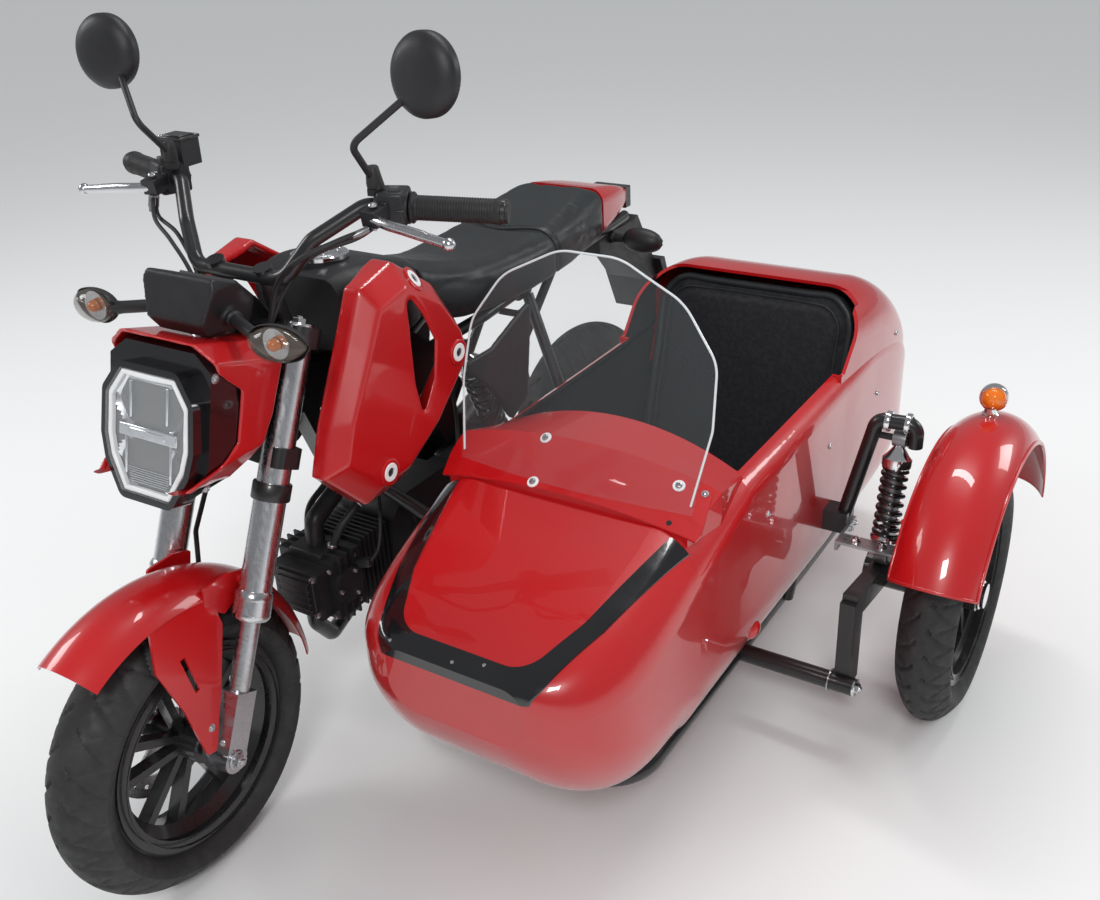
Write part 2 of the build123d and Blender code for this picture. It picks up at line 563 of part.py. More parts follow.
def motorcycle_nodes():
    nodes = {}
    head = pipe(axis_point(HEAD_LOW), axis_point(HEAD_TOP), HEAD_R, STEM_R + AXLE_RUN)
    backbone = bar((0, axis_point(700)[1] + 20, 700), (0, 600, 640), 46, 74)
    backbone += bar((0, 600, 650), (0, 752, 330), 46, 56)
    backbone -= rod(axis_point(HEAD_LOW - 60), axis_point(HEAD_TOP + 60), HEAD_R - 1)
    frame = head + backbone
    for side in (-1, 1):
        frame += bent_rod([(side * 20, 580, 640), (side * 62, *RAIL_LOW), (side * 62, *RAIL_HIGH)], SEAT_RAIL_R, 60)
        frame += rod((side * 50, 760, 440), (side * 62, 1000, rail_z(1000)), 9)
        frame += plate([(732, 254), (752, 254), (790, 300), (790, 470), (742, 470), (732, 380)],
                       side * 54 - 4, side * 54 + 4, radius=8)
        frame += Pos(side * 36, 760, 320) * Box(32, 30, 40)
        frame += Pos(side * 36, 762, 440) * Box(32, 36, 30)
        frame += Pos(side * 17, 700, 602) * Box(5, 150, 30)
    frame += disc(-118, 118, PIVOT_Y, PIVOT_Z, 8)
    frame += disc(-24, 24, TOP_EYE_Y, TOP_EYE_Z, 7)
    frame += bar((0, 330, 690), (0, 400, 505), 36, 30)
    frame += disc(-40, HANGER_X, HANGER_Y, HANGER_Z, 10)
    frame += block(-20, 20, 440, 480, 680, TANK_FLOOR - SIT)
    nodes["main_frame"] = [frame]

    # Engine: crankcase with round covers, finned cylinder lying forward
    case_front = CYLINDER_BACK
    case = plate([(case_front, 262), (490, 205), (640, 200), (686, 260), (686, 385), (620, 440), (480, 440),
                  (case_front, 410)], -CASE_HALF, CASE_HALF, radius=20)
    case += disc(CASE_HALF, 104, 524, 300, 70)
    case += disc(CASE_HALF, 92, 612, 330, 40)
    case += disc(-108, -CASE_HALF, 545, 305, 76)
    case += disc(-96, -CASE_HALF, 638, 345, 38)
    case += disc(26, CHAIN_X + 8, DRIVE_Y, DRIVE_Z, CHAIN_FRONT_R - 3 - SIT)
    for side in (-1, 1):
        x0, x1 = sorted((side * 24, side * 50))
        case += block(x0, x1, 670, PIVOT_Y - 8 - SIT, 306, 334)
        case += plate([(630, 378), (744 - SIT, 428), (744 - SIT, 452), (630, 432)], x0, x1)
    case -= block(-26, 26, 600, 700, 372, 520)
    nodes["engine_case"] = [case]
    barrel = block(-44, 44, CYLINDER_BACK - FIN_PITCH * FINS - 6, CYLINDER_BACK - SIT, 288, 392)
    for index in range(FINS):
        fin_y = CYLINDER_BACK - FIN_PITCH * (index + 1)
        barrel += block(-58, 58, fin_y - 2, fin_y + 2, 276, 404)
    head_back = CYLINDER_BACK - FIN_PITCH * FINS - 6
    barrel += block(-60, 60, head_back - 66, head_back, 286, 398)
    barrel += block(-50, 50, HEAD_FACE_Y, head_back - 66, 298, 386)
    for index in range(3):
        barrel += block(-66, 66, head_back - 24 - 16 * index, head_back - 20 - 16 * index, 280, 404)
    barrel += disc(60, 70, head_back - 40, 345, 32)
    barrel += bent_rod([(0, head_back - 40, 390), (0, head_back - 36, 446), (0, head_back + 20, 472)], 16, 20)
    nodes["engine_cylinder"] = [barrel]

    port_y = head_back - 40
    pipe_path = [(-30, port_y, 279.5), (-30, port_y, 236), (-40, port_y + 42, 182), (-84, 480, 172),
                 (-96, 690, 188), (-168, 812, 250)]
    header = bent_rod(pipe_path, 14, 22)
    muffler = rod((-168, 806, 247), (-182, 1180, 352), 44)
    muffler += rod((-168, 794, 243), (-168.4, 808, 248), 30)
    nodes["exhaust"] = [header + muffler]

    # Tank cover, with its round cap, between the two shrouds
    cover = loft([
        round_box(368, 0, 86, 860, TANK_FLOOR, 26, 8),
        round_box(430, 0, 112, 868, TANK_FLOOR, 40, 8),
        round_box(520, 0, 108, 852, TANK_FLOOR, 40, 8),
        round_box(575, 0, 66, 830, TANK_FLOOR, 25, 8),
    ])
    cap_plane = Plane(origin=(0, 430, 862), x_dir=(1, 0, 0), z_dir=(0, 0.06, 1))
    cap = extrude(cap_plane * Circle(44), amount=14)
    nodes["tank_cover"] = [cover + cap]

    shroud_outline = [(335, 869), (411, 889), (497, 829), (550, 751), (565, 695), (461, 595), (370, 540),
                      (293, 536), (215, 617), (240, 690), (300, 800)]
    inside_outline = [(345, 859), (411, 877), (489, 823), (541, 748), (554, 699), (455, 604), (366, 551),
                      (299, 548), (229, 622), (252, 690), (310, 796)]
    slot = [(408, 845), (440, 800), (463, 751), (452, 690), (420, 640), (408, 700)]
    room = rod(axis_point(480), axis_point(920), STEER_ROOM)
    outer = drawn_in(shroud_outline, 122, 160, 188)
    hollow = drawn_in(inside_outline, 115, 157, 183)
    nodes["tank_shrouds"] = both_sides(outer - hollow - plate(slot, 100, 200, radius=6) - room)

    panel = plate([(330, TANK_FLOOR - SIT), (490, TANK_FLOOR - SIT), (545, 700), (470, 610), (380, 560),
                   (305, 560), (262, 640), (300, 720)], 60, 121.5, radius=10)
    nodes["inner_panels"] = both_sides(panel - room)

    seat = loft([
        round_box(y, 0, half, top, rail_z(y) + SEAT_RAIL_R + 0.5 + lift, shoulder, 8)
        for y, half, top, lift, shoulder in SEAT
    ])
    nodes["seat"] = [seat]
    tail = loft([
        round_box(TAIL_FRONT, 0, 96, 816, rail_z(TAIL_FRONT) + SEAT_RAIL_R + 0.5, 30, 20),
        round_box(1230, 0, 78, 800, rail_z(1230) + SEAT_RAIL_R + 0.5, 24, 18),
        round_box(1330, 0, 44, 770, rail_z(1330) + SEAT_RAIL_R + 0.5, 10, 10),
    ])
    tail -= block(-46, 46, TAIL_FRONT - 10, 1290, 700, 770)
    nodes["tail_cowl"] = [tail]
    side = plate([(610, 640), (700, 640), (830, 690), (800, 505), (745, 480), (690, 560)], 112, 122, radius=10)
    side += disc(64, 114, 800, 669, 7) - rod((62, *RAIL_LOW), (62, *RAIL_HIGH), SEAT_RAIL_R + SIT)
    nodes["side_panels"] = both_sides(side)

    stay = plate([(1180, 700.8), (1330, 700.8), (1345, 712), (1452, 540), (1430, 530), (1310, 660), (1180, 660)],
                 -62, 62, radius=6)
    plate_bracket = plate([(1418, 590), (1440, 590), (1500, 440), (1492, 436)], -80, 80)
    nodes["rear_mudguard"] = [stay + plate_bracket]
    lamp = block(-40, 40, 1330 + SIT, 1352, 728, 768)
    nodes["tail_lamp"] = [lamp]
    rear_signals = []
    for side in (-1, 1):
        stalk = rod((side * 62.4, 1230, 690), (side * 112, 1230, 690), 8)
        rear_signals.append(stalk + Pos(side * 140, 1230, 692) * signal_lamp(side * SIGNAL_HALF))
    nodes["rear_indicators"] = rear_signals

    # Swinging arm: two box arms round the rear wheel, joined ahead of it
    arms = []
    for side in (-1, 1):
        arm = bar((side * SWING_HALF, PIVOT_Y, PIVOT_Z), (side * SWING_HALF, WHEELBASE + 30, REAR_R - 4), 24, 44)
        arm += disc(side * (SWING_HALF - 12), side * (SWING_HALF + 18), PIVOT_Y, PIVOT_Z, 26)
        arms.append(arm)
    swing = arms[0] + arms[1]
    swing += block(-90, 90, BRACE_Y - BRACE_HALF, BRACE_Y + BRACE_HALF, PIVOT_Z - 45, PIVOT_Z)
    swing += disc(-SWING_HALF - 24, SWING_HALF + 24, WHEELBASE, REAR_R, AXLE_R)
    swing -= disc(-130, 130, PIVOT_Y, PIVOT_Z, 8 + SIT)
    swing += pipe((REAR_HUB_HALF + 37, WHEELBASE, REAR_R), (SWING_HALF - 12, WHEELBASE, REAR_R), 13, AXLE_R)
    nodes["swing_arm"] = [swing]
    low_eye = Vector(0, BRACE_Y, EYE_Z)
    way = Vector(0, TOP_EYE_Y, TOP_EYE_Z) - low_eye
    shock = disc(-12, 12, BRACE_Y, EYE_Z, 14) + rod(low_eye, low_eye + way * 0.2, 10)
    shock += rod(low_eye + way * 0.18, low_eye + way * 0.75, 26)
    shock += rod(low_eye + way * 0.74, low_eye + way * 0.97, 9)
    shock += disc(-14, 14, TOP_EYE_Y, TOP_EYE_Z, 14) - disc(-30, 30, TOP_EYE_Y, TOP_EYE_Z, 7 + SIT)
    nodes["rear_shock"] = [shock]

    # Chain: one loop round both sprockets
    mid_r = SPROCKET_R + CHAIN_ROOM
    outer_loop = belt(DRIVE_Y, DRIVE_Z, CHAIN_FRONT_R + 6, WHEELBASE, REAR_R, mid_r + 6)
    inner_loop = belt(DRIVE_Y, DRIVE_Z, CHAIN_FRONT_R - 3, WHEELBASE, REAR_R, mid_r - 3)
    chain = extrude(side_plane(CHAIN_X - CHAIN_WIDE / 2) * (outer_loop - inner_loop), amount=CHAIN_WIDE)
    nodes["drive_chain"] = [chain]

    pegs = []
    for side in (-1, 1):
        peg = Pos(side * (83 + SIT), 742, 264) * Box(50, 14, 14)
        peg += rod((side * 108, 742, 264), (side * 196, 742, 268), 10)
        pegs.append(peg)
    nodes["foot_pegs"] = pegs
    return nodes


def belt(y0, z0, r0, y1, z1, r1):
    """Belt outline round two circles, in (y, z)."""
    dist = hypot(y1 - y0, z1 - z0)
    along = atan2(z1 - z0, y1 - y0)
    swing = atan2(sqrt(dist ** 2 - (r1 - r0) ** 2), r0 - r1)
    points = []
    for turn in (along + swing, along - swing):
        points.append(((y0 + r0 * cos(turn), z0 + r0 * sin(turn)), (y1 + r1 * cos(turn), z1 + r1 * sin(turn))))
    middle = make_face(Polyline(points[0][0], points[0][1], points[1][1], points[1][0], close=True))
    return middle + Pos(y0, z0) * Circle(r0) + Pos(y1, z1) * Circle(r1)


# Sidecar body: one hull with a raised tail, an arched scuttle and an open cockpit

# Columns: y, half width, top, bottom, shoulder radius, belly radius
NOSE = [
    (120, 114, 446, 346, 30, 44),
    (152, 180, 464, 278, 55, 95),
    (215, 216, 490, 210, 75, 125),
    (300, 229, 520, 166, 80, 155),
    (405, 232, 556, HULL_FLOOR, 80, 170),
]
MIDDLE = [
    (405, 232, 556, HULL_FLOOR, 80, 170),
    (575, 232, RIM_Z, HULL_FLOOR, 45, 172),
    (1000, 230, RIM_Z, HULL_FLOOR, 36, 160),
]
STERN = [
    (1000, 230, RIM_Z, HULL_FLOOR, 36, 160),
    (1230, 228, 572, HULL_FLOOR + 14, 40, 145),
    (1360, 222, 545, 186, 60, 125),
    (1470, 196, 490, 232, 70, 100),
    (1555, 120, 410, 310, 40, 45),
]
TAIL = [
    (985, 222, 700, 450, 60, 12),
    (1120, 226, 694, 450, 84, 12),
    (1230, 226, 678, 450, 90, 12),
    (1340, 220, 624, 440, 90, 12),
    (1450, 196, 540, 420, 80, 12),
    (1530, 140, 452, 400, 22, 12),
]
# Columns: y, half width, end height, middle height
SCUTTLE = [
    (412, 206, 551.0, 569.0),
    (490, 222, 590.2, 619.0),
    (COCKPIT_FRONT, 214, 566, 622),
]


def hull_section(row, inset, shift=0.0):
    y, half, top, bottom, r_top, r_bottom = row
    return round_box(y + shift, SIDE_MID, half - inset, top - inset, bottom + inset,
                     max(r_top - inset, 5), max(r_bottom - inset, 5))


def nose_loft(inset, end_inset):
    rows = [hull_section(row, inset) for row in NOSE[1:]]
    return loft([hull_section(NOSE[0], inset, end_inset)] + rows)


def hull_loft(inset, end_inset):
    """Nose, straight middle and stern, with the raised tail on top."""
    middle = loft([hull_section(row, inset) for row in MIDDLE], ruled=True)
    stern = loft([hull_section(row, inset) for row in STERN[:-1]] + [hull_section(STERN[-1], inset, -end_inset)])
    tail = loft([hull_section(TAIL[0], inset, end_inset)] + [hull_section(row, inset) for row in TAIL[1:-1]]
                + [hull_section(TAIL[-1], inset, -end_inset)])
    return nose_loft(inset, end_inset) + middle + stern + tail


def band_outline(rear_half, middle_half, front_half, front_y):
    """Deck outline seen from above: open at the cowl, round at both front corners."""
    corners = [(-rear_half, 405), (-middle_half, 235), (-front_half, front_y), (front_half, front_y),
               (middle_half, 235), (rear_half, 405)]
    outline = FilletPolyline(*corners, radius=[0, 60, 50, 50, 60, 0], close=True)
    return Pos(SIDE_MID, 0) * make_face(outline)


def outrigger(room):
    """Tube and square stub that come out through the hull's side, grown by room."""
    foot = (SIDE_MID + RAIL_HALF + 14, OUTRIG_Y, HULL_FLOOR - RAIL_R - SIT)
    top = (SIDE_MID + RAIL_HALF + 46, OUTRIG_Y, OUTRIG_Z)
    riser = rod(foot, top, RAIL_R - 3 + room)
    half = 20 + room
    stub = block(top[0] - 14 - room, OUTRIG_X, OUTRIG_Y - half, OUTRIG_Y + half, OUTRIG_Z - half, OUTRIG_Z + half)
    return riser + stub


def sidecar_body_nodes():
    nodes = {}
    outer = hull_loft(0, 0)
    outer += loft([arch(y, SIDE_MID, half, end, mid, 500) for y, half, end, mid in SCUTTLE], ruled=True)
    inner = hull_loft(WALL, WALL)
    rows = [(y, half - WALL, end - WALL, mid - WALL) for y, half, end, mid in SCUTTLE]
    part = SCUTTLE_WALL / (rows[1][0] - rows[0][0])
    rows[0] = tuple(a + part * (b - a) for a, b in zip(rows[0], rows[1]))
    rows.append((COCKPIT_FRONT + 5, SCUTTLE[-1][1] - WALL, SCUTTLE[-1][2] - WALL, SCUTTLE[-1][3] - WALL))
    inner += loft([arch(y, SIDE_MID, half, end, mid, 500) for y, half, end, mid in rows], ruled=True)
    body = outer - inner
    low = SIDE_MID - COCKPIT_HALF
    high = SIDE_MID + COCKPIT_HALF
    lean = [(COCKPIT_FRONT, RIM_Z - 30), (1010, RIM_Z - 30), (COCKPIT_REAR, 685), (COCKPIT_REAR, 760),
            (COCKPIT_FRONT, 760)]
    body -= plate(lean, low, high)
    wing = [(900, RIM_Z), (1000, RIM_Z), (COCKPIT_REAR - 4, 700), (COCKPIT_REAR - 4, 760), (900, 760)]
    body -= plate(wing, SIDE_MID - 260, SIDE_MID + 260)
    nodes["sidecar_body"] = [body - outrigger(SIT)]

    # Black band round the deck's edge, on the hull's skin
    skin = nose_loft(-2.0, -2.0) - nose_loft(-SIT, -SIT)
    deck_outer = band_outline(212, 172, 128, 112)
    deck_inner = band_outline(184, 144, 104, 146)
    prism = extrude(Plane.XY.offset(432) * (deck_outer - deck_inner), amount=140)
    nodes["deck_trim"] = [skin & prism]

    # Cowl sheet ahead of the cockpit, and the bent screen behind it
    cowl = loft([
        arch_strip(410, SIDE_MID, 219, 551, 571, SHEET),
        arch_strip(488, SIDE_MID, 240, 587.5, 621, SHEET),
    ], ruled=True)
    trim = FilletPolyline((-226, 400), (226, 400), (210, 492), (-232, 492), radius=20, close=True)
    nodes["cowl_sheet"] = [cowl & extrude(Plane.XY.offset(500) * Pos(SIDE_MID, 0) * make_face(trim), amount=200)]

    half_outline = [(196, 540), (212, 690), (206, 780), (150, 856), (50, 905)]
    outline = half_outline + [(-x, z) for x, z in reversed(half_outline)]
    radii = [10, 60, 60, 90, 90, 90, 90, 60, 60, 10]
    front = extrude(cross_plane(SIDE_MID, 700) * make_face(FilletPolyline(*outline, radius=radii, close=True)),
                    amount=400)
    up = (0, sin(radians(SCREEN_LEAN)), cos(radians(SCREEN_LEAN)))
    lean = radians(SCREEN_LEAN)
    centre = (SIDE_MID, SCREEN_Y + SCREEN_R * cos(lean), SCREEN_Z - SCREEN_R * sin(lean))
    lean_plane = Plane(origin=centre, z_dir=up)
    ring = Circle(SCREEN_R) - Circle(SCREEN_R - SCREEN_THICK)
    sheet = extrude(lean_plane.offset(-120) * ring, amount=520)
    under = loft([
        arch(405, SIDE_MID, 240, 550 + SIT, 568 + SIT, 480),
        arch(488, SIDE_MID, 240, 587.5 + SIT, 621 + SIT, 480),
    ], ruled=True)
    nodes["windscreen"] = [(sheet & front) - under]

    # Seat: cushion and a back that fills the tail's mouth
    floor = HULL_FLOOR + WALL + SIT
    cushion = loft([
        round_box(690, SIDE_MID, 150, 300, floor, 30, 100),
        round_box(1002.9, SIDE_MID, 150, 284, floor, 26, 96),
    ])
    back_outline = [(1000.5, 270), (1050, 270), (1140, 560), (1150, 674), (1124, 684), (1088, 560)]
    back = plate(back_outline, SIDE_MID - 205, SIDE_MID + 205, radius=8)
    shape = round_box(1300, SIDE_MID, 208, 686, 260, 80, 20)
    back &= extrude(shape, amount=400)
    nodes["sidecar_seat"] = [cushion, back]
    return nodes


def sidecar_chassis_nodes():
    nodes = {}
    low_z = HULL_FLOOR - RAIL_R - SIT
    left = SIDE_MID + RAIL_HALF
    right = SIDE_MID - RAIL_HALF
    loop = bent_rod([(right, CHASSIS_REAR, low_z), (right, CHASSIS_FRONT, low_z), (left, CHASSIS_FRONT, low_z),
                     (left, CHASSIS_REAR, low_z)], RAIL_R, 80)
    loop += rod((right, CHASSIS_REAR - 20, low_z), (left, CHASSIS_REAR - 20, low_z), RAIL_R)
    loop += rod((right, ARM_PIVOT_Y, low_z), (ARM_X + 36, ARM_PIVOT_Y, low_z), RAIL_R)
    loop += rod((right, 1000, low_z), (left, 1000, low_z), RAIL_R)
    # Outrigger through the hull's side, with an arch over the shock absorber's top
    loop += outrigger(0)
    arch_z = SHOCK_TOP_Z + 31
    loop += bent_rod([(OUTRIG_X - 12, OUTRIG_Y, OUTRIG_Z + 8), (SHOCK_X - 40, SHOCK_TOP_Y - 6, arch_z),
                      (SHOCK_X + 25, SHOCK_TOP_Y, arch_z), (SHOCK_X + 25, SHOCK_TOP_Y, SHOCK_TOP_Z - 10)],
                     RAIL_R - 3, 18)
    loop += disc(SHOCK_X - 46, SHOCK_X + 25, SHOCK_TOP_Y, SHOCK_TOP_Z, 6)
    tie_y = OUTRIG_Y - 64
    tie = block(OUTRIG_X + SIT, SIDE_X - 74.6, tie_y - 16, tie_y + 16, OUTRIG_Z - 5, OUTRIG_Z)
    tie += block(OUTRIG_X + SIT, OUTRIG_X + 6, tie_y - 16, OUTRIG_Y + 18, OUTRIG_Z - 18, OUTRIG_Z)
    nodes["guard_tie"] = [tie]
    # Struts to the motorcycle: two low, two high
    loop += bent_rod([(right, 430, low_z), (150, 440, low_z + 16), (66, 560, 184), (-56, 560, 184)], 13, 24)
    loop += Pos(0, 560, 192.8) * Box(90, 30, 18)
    loop += bent_rod([(right, 1000, low_z), (190, 960, low_z + 18), (134, 800, 290), (134, PIVOT_Y, PIVOT_Z)], 12, 24)
    loop += disc(118 + SIT, 146, PIVOT_Y, PIVOT_Z, 15)
    loop += bent_rod([(right, 480, low_z), (192, 480, 168), (184, 470, 400), (72, HANGER_Y, HANGER_Z)], 11, 24)
    loop += disc(HANGER_X + SIT, HANGER_X + 18, HANGER_Y, HANGER_Z, 13)
    loop += bent_rod([(right, 860, low_z), (192, 860, 168), (190, 850, 430), (78, 880, rail_z(880) - 6)], 11, 24)
    saddle = pipe((62, 866, rail_z(866)), (62, 894, rail_z(894)), 17, SEAT_RAIL_R + SIT)
    loop += saddle - block(40, 90, 840, 920, rail_z(866) + 8, rail_z(866) + 40)
    nodes["sidecar_chassis"] = [loop]

    arm_x = ARM_X + 12
    arm = bar((arm_x, ARM_PIVOT_Y + 24, 122), (arm_x, ARM_PIVOT_Y + 24, 290), 26, 46)
    arm_front = Vector(arm_x, ARM_PIVOT_Y + 10, 280)
    arm_rear = Vector(arm_x, SIDE_Y - 10, SIDE_R + 14)
    arm += bar(arm_front, arm_rear, 26, 44)
    arm += disc(ARM_X - 22, ARM_X + 56, SIDE_Y, SIDE_R, 30)
    arm += disc(ARM_X + 50, SIDE_X + SIDE_HUB_HALF + 4, SIDE_Y, SIDE_R, AXLE_R)
    arm += disc(ARM_X + 56, SIDE_X - SIDE_HUB_HALF - 1, SIDE_Y, SIDE_R, 16)
    arm -= rod((0, ARM_PIVOT_Y, low_z), (ARM_X + 60, ARM_PIVOT_Y, low_z), RAIL_R + SIT)
    nodes["wheel_arm"] = [arm]
    fall = (arm_front.Z - arm_rear.Z) / (arm_rear.Y - arm_front.Y)
    low_z = arm_front.Z - fall * (SHOCK_LOW_Y - arm_front.Y) + (22 + 14) * hypot(1, fall) + SIT
    shock = disc(SHOCK_X - 11, SHOCK_X + 11, SHOCK_LOW_Y, low_z, 14)
    low_end = Vector(SHOCK_X, SHOCK_LOW_Y, low_z)
    high_end = Vector(SHOCK_X, SHOCK_TOP_Y, SHOCK_TOP_Z)
    way = high_end - low_end
    shock += rod(low_end + way * 0.04, low_end + way * 0.22, 10)
    shock += rod(low_end + way * 0.2, low_end + way * 0.8, 24)
    shock += rod(low_end + way * 0.78, low_end + way * 0.97, 9)
    shock += disc(SHOCK_X - 11, SHOCK_X + 11, SHOCK_TOP_Y, SHOCK_TOP_Z, 14)
    shock -= disc(SHOCK_X - 40, SHOCK_X + 40, SHOCK_TOP_Y, SHOCK_TOP_Z, 6 + SIT)
    nodes["wheel_shock"] = [shock]

    # Its mudguard rides on two stays from a ring round the stub axle
    fender = guard(SIDE_X + 10, SIDE_Y, SIDE_R, SIDE_GUARD_R, 70, SIDE_GUARD_DROP, 3.0, 15, 135)
    ring_at = ARM_X + 56 + SIT
    fender += disc(ring_at, ring_at + 5, SIDE_Y, SIDE_R, 28)
    for turn in (50, 128):
        reach = Vector(0, -cos(radians(turn)), sin(radians(turn)))
        foot = Vector(ring_at + 5.5, SIDE_Y, SIDE_R) + reach * 20
        tip = Vector(SIDE_X - 58, SIDE_Y, SIDE_R) + reach * (SIDE_GUARD_R - SIDE_GUARD_DROP + 3)
        fender += rod(foot, tip, 5)
    fender -= disc(ring_at - 1, ring_at + 40, SIDE_Y, SIDE_R, 16 + SIT)
    nodes["sidecar_mudguard"] = [fender]
    lamp_y = SIDE_Y + 55
    lamp_z = SIDE_R + sqrt(SIDE_GUARD_R ** 2 - 55 ** 2) + 1.7
    lamp = rod((SIDE_X + 5, lamp_y, lamp_z), (SIDE_X + 5, lamp_y, lamp_z + 12), 9)
    face = make_face([
        Polyline((0, 0), (0, 19), (4, 22), (14, 22), (16, 18)),
        ThreePointArc((16, 18), (26, 12), (30, 0)),
        Line((30, 0), (0, 0)),
    ])
    dome = revolve(face, axis=Axis.X)
    lamp += Pos(SIDE_X + 5, lamp_y + 12, lamp_z + 30) * Rotation(0, 0, -78) * dome
    nodes["mudguard_lamp"] = [lamp]
    return nodes


def place(solid, turned):
    if turned:
        solid = solid.rotate(STEER_AXIS, STEER_REST)
    return Pos(*ORIGIN) * solid


def write(nodes, turned=False):
    for name, solids in nodes.items():
        pieces = [place(solid, turned) for solid in solids]
        whole = Compound(children=pieces) if len(pieces) > 1 else pieces[0]
        export_step(whole, f"parts/{name}.step")


os.makedirs("parts", exist_ok=True)
write(motorcycle_nodes())
write(rear_wheel_nodes())
write(steering_nodes(), turned=True)
write(front_wheel_nodes(), turned=True)
write(sidecar_body_nodes())
write(sidecar_chassis_nodes())
write(sidecar_wheel_nodes())
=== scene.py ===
import math

import bmesh
import bpy
from mathutils import Matrix, Vector
from mathutils.bvhtree import BVHTree


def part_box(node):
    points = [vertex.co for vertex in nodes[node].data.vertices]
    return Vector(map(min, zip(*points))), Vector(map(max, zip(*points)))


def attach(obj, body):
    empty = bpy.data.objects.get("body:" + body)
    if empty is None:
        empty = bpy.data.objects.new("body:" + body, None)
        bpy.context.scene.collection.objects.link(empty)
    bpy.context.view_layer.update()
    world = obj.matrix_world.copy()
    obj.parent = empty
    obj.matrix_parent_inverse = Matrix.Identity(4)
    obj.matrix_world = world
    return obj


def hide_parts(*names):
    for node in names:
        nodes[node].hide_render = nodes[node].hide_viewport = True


# Sidecar motorcycle: looks. Places are given as in the part's source, in millimetres:
# x = 0 the motorcycle's centre plane, y = 0 its front axle, z = 0 the floor.
MM = 0.001
TAU = 2 * math.pi
SIDES = (-1, 1)
SHIFT = Vector((-310.0, -659.7, 0.0))
RAKE = math.radians(25.0)
REST_TURN = math.radians(3.5)
FRONT_WHEEL, REAR_WHEEL, SIDE_WHEEL = (0, 0, 236), (0, 1200, 243), (905, 945, 236)
LEG_X = 87    # a fork leg from the middle
HULL_X = 438  # the hull's middle
BAR_FROM, BAR_TO = Vector((175.0, 345.0, 992.0)), Vector((355.0, 417.0, 985.0))

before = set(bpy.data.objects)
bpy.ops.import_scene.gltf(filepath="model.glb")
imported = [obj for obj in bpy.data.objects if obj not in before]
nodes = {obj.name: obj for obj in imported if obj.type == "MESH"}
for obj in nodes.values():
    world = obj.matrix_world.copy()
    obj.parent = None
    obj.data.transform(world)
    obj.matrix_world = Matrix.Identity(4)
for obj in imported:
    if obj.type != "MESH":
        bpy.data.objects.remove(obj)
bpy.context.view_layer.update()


def place(p):
    return (Vector(p) + SHIFT) * MM


def bike(p):
    """Place in millimetres of a point of the scene."""
    return p / MM - SHIFT


STEER_POINT = place((0, -81, 0))
STEER_DIR = Vector((0, math.sin(RAKE), math.cos(RAKE)))
STEER = (Matrix.Translation(STEER_POINT) @ Matrix.Rotation(REST_TURN, 4, STEER_DIR)
         @ Matrix.Translation(-STEER_POINT))


# Materials

SOCKETS = {"metal": "Metallic", "coat": "Coat Weight", "coat_rough": "Coat Roughness", "alpha": "Alpha", "ior": "IOR"}


def noise(tree, scale, detail, stretch=(1, 1, 1)):
    """Noise over the object, stretched along an axis where the surface is brushed."""
    where = tree.nodes.new("ShaderNodeTexCoord")
    spread = tree.nodes.new("ShaderNodeMapping")
    spread.inputs["Scale"].default_value = stretch
    tex = tree.nodes.new("ShaderNodeTexNoise")
    tex.inputs["Scale"].default_value = scale
    tex.inputs["Detail"].default_value = detail
    tree.links.new(where.outputs["Object"], spread.inputs["Vector"])
    tree.links.new(spread.outputs["Vector"], tex.inputs["Vector"])
    return tex


def worn(tree, scale, other, low=0.5, high=0.8):
    """Base colour that turns to another where a soft noise is high: dust, wear or handling."""
    socket = tree.nodes["Principled BSDF"].inputs["Base Color"]
    ramp = tree.nodes.new("ShaderNodeValToRGB")
    for end, at, color in zip(ramp.color_ramp.elements, (low, high), (socket.default_value[:], (*other, 1))):
        end.position = at
        end.color = color
    tree.links.new(noise(tree, scale, 6.0).outputs["Fac"], ramp.inputs["Fac"])
    tree.links.new(ramp.outputs["Color"], socket)


def grained(tree, scale, strength, depth, kind="noise"):
    """Fine surface relief as bump."""
    where = tree.nodes.new("ShaderNodeTexCoord")
    if kind == "noise":
        tex = tree.nodes.new("ShaderNodeTexNoise")
        tex.inputs["Detail"].default_value = 4.0
    else:
        tex = tree.nodes.new("ShaderNodeTexVoronoi")
    tex.inputs["Scale"].default_value = scale
    bump = tree.nodes.new("ShaderNodeBump")
    bump.inputs["Strength"].default_value = strength
    bump.inputs["Distance"].default_value = depth
    tree.links.new(where.outputs["Object"], tex.inputs["Vector"])
    tree.links.new(tex.outputs["Fac" if kind == "noise" else "Distance"], bump.inputs["Height"])
    tree.links.new(bump.outputs["Normal"], tree.nodes["Principled BSDF"].inputs["Normal"])


def surface(name, color, rough, wear=None, grain=None, slot=None, on="", stretch=(1, 1, 1), **looks):
    """Material, laid on the CAD nodes in on. The slot argument is not used.

    rough is (low, high, scale), wear (scale, other colour, from, to), grain (scale, strength, depth, kind).
    """
    m = bpy.data.materials.new(name)
    m.use_nodes = True
    t = m.node_tree
    shader = t.nodes["Principled BSDF"]
    shader.inputs["Base Color"].default_value = (*color, 1)
    for key, value in looks.items():
        shader.inputs[SOCKETS[key]].default_value = value
    low, high, scale = rough
    shader.inputs["Roughness"].default_value = (low + high) / 2
    span = t.nodes.new("ShaderNodeMapRange")
    for key, value in (("From Min", 0.3), ("From Max", 0.7), ("To Min", low), ("To Max", high)):
        span.inputs[key].default_value = value
    t.links.new(noise(t, scale, 3.0, stretch).outputs["Fac"], span.inputs["Value"])
    t.links.new(span.outputs["Result"], shader.inputs["Roughness"])
    if wear:
        worn(t, *wear)
    if grain:
        grained(t, *grain)
    for node in on.split():
        nodes[node].data.materials.clear()
        nodes[node].data.materials.append(m)
    return m


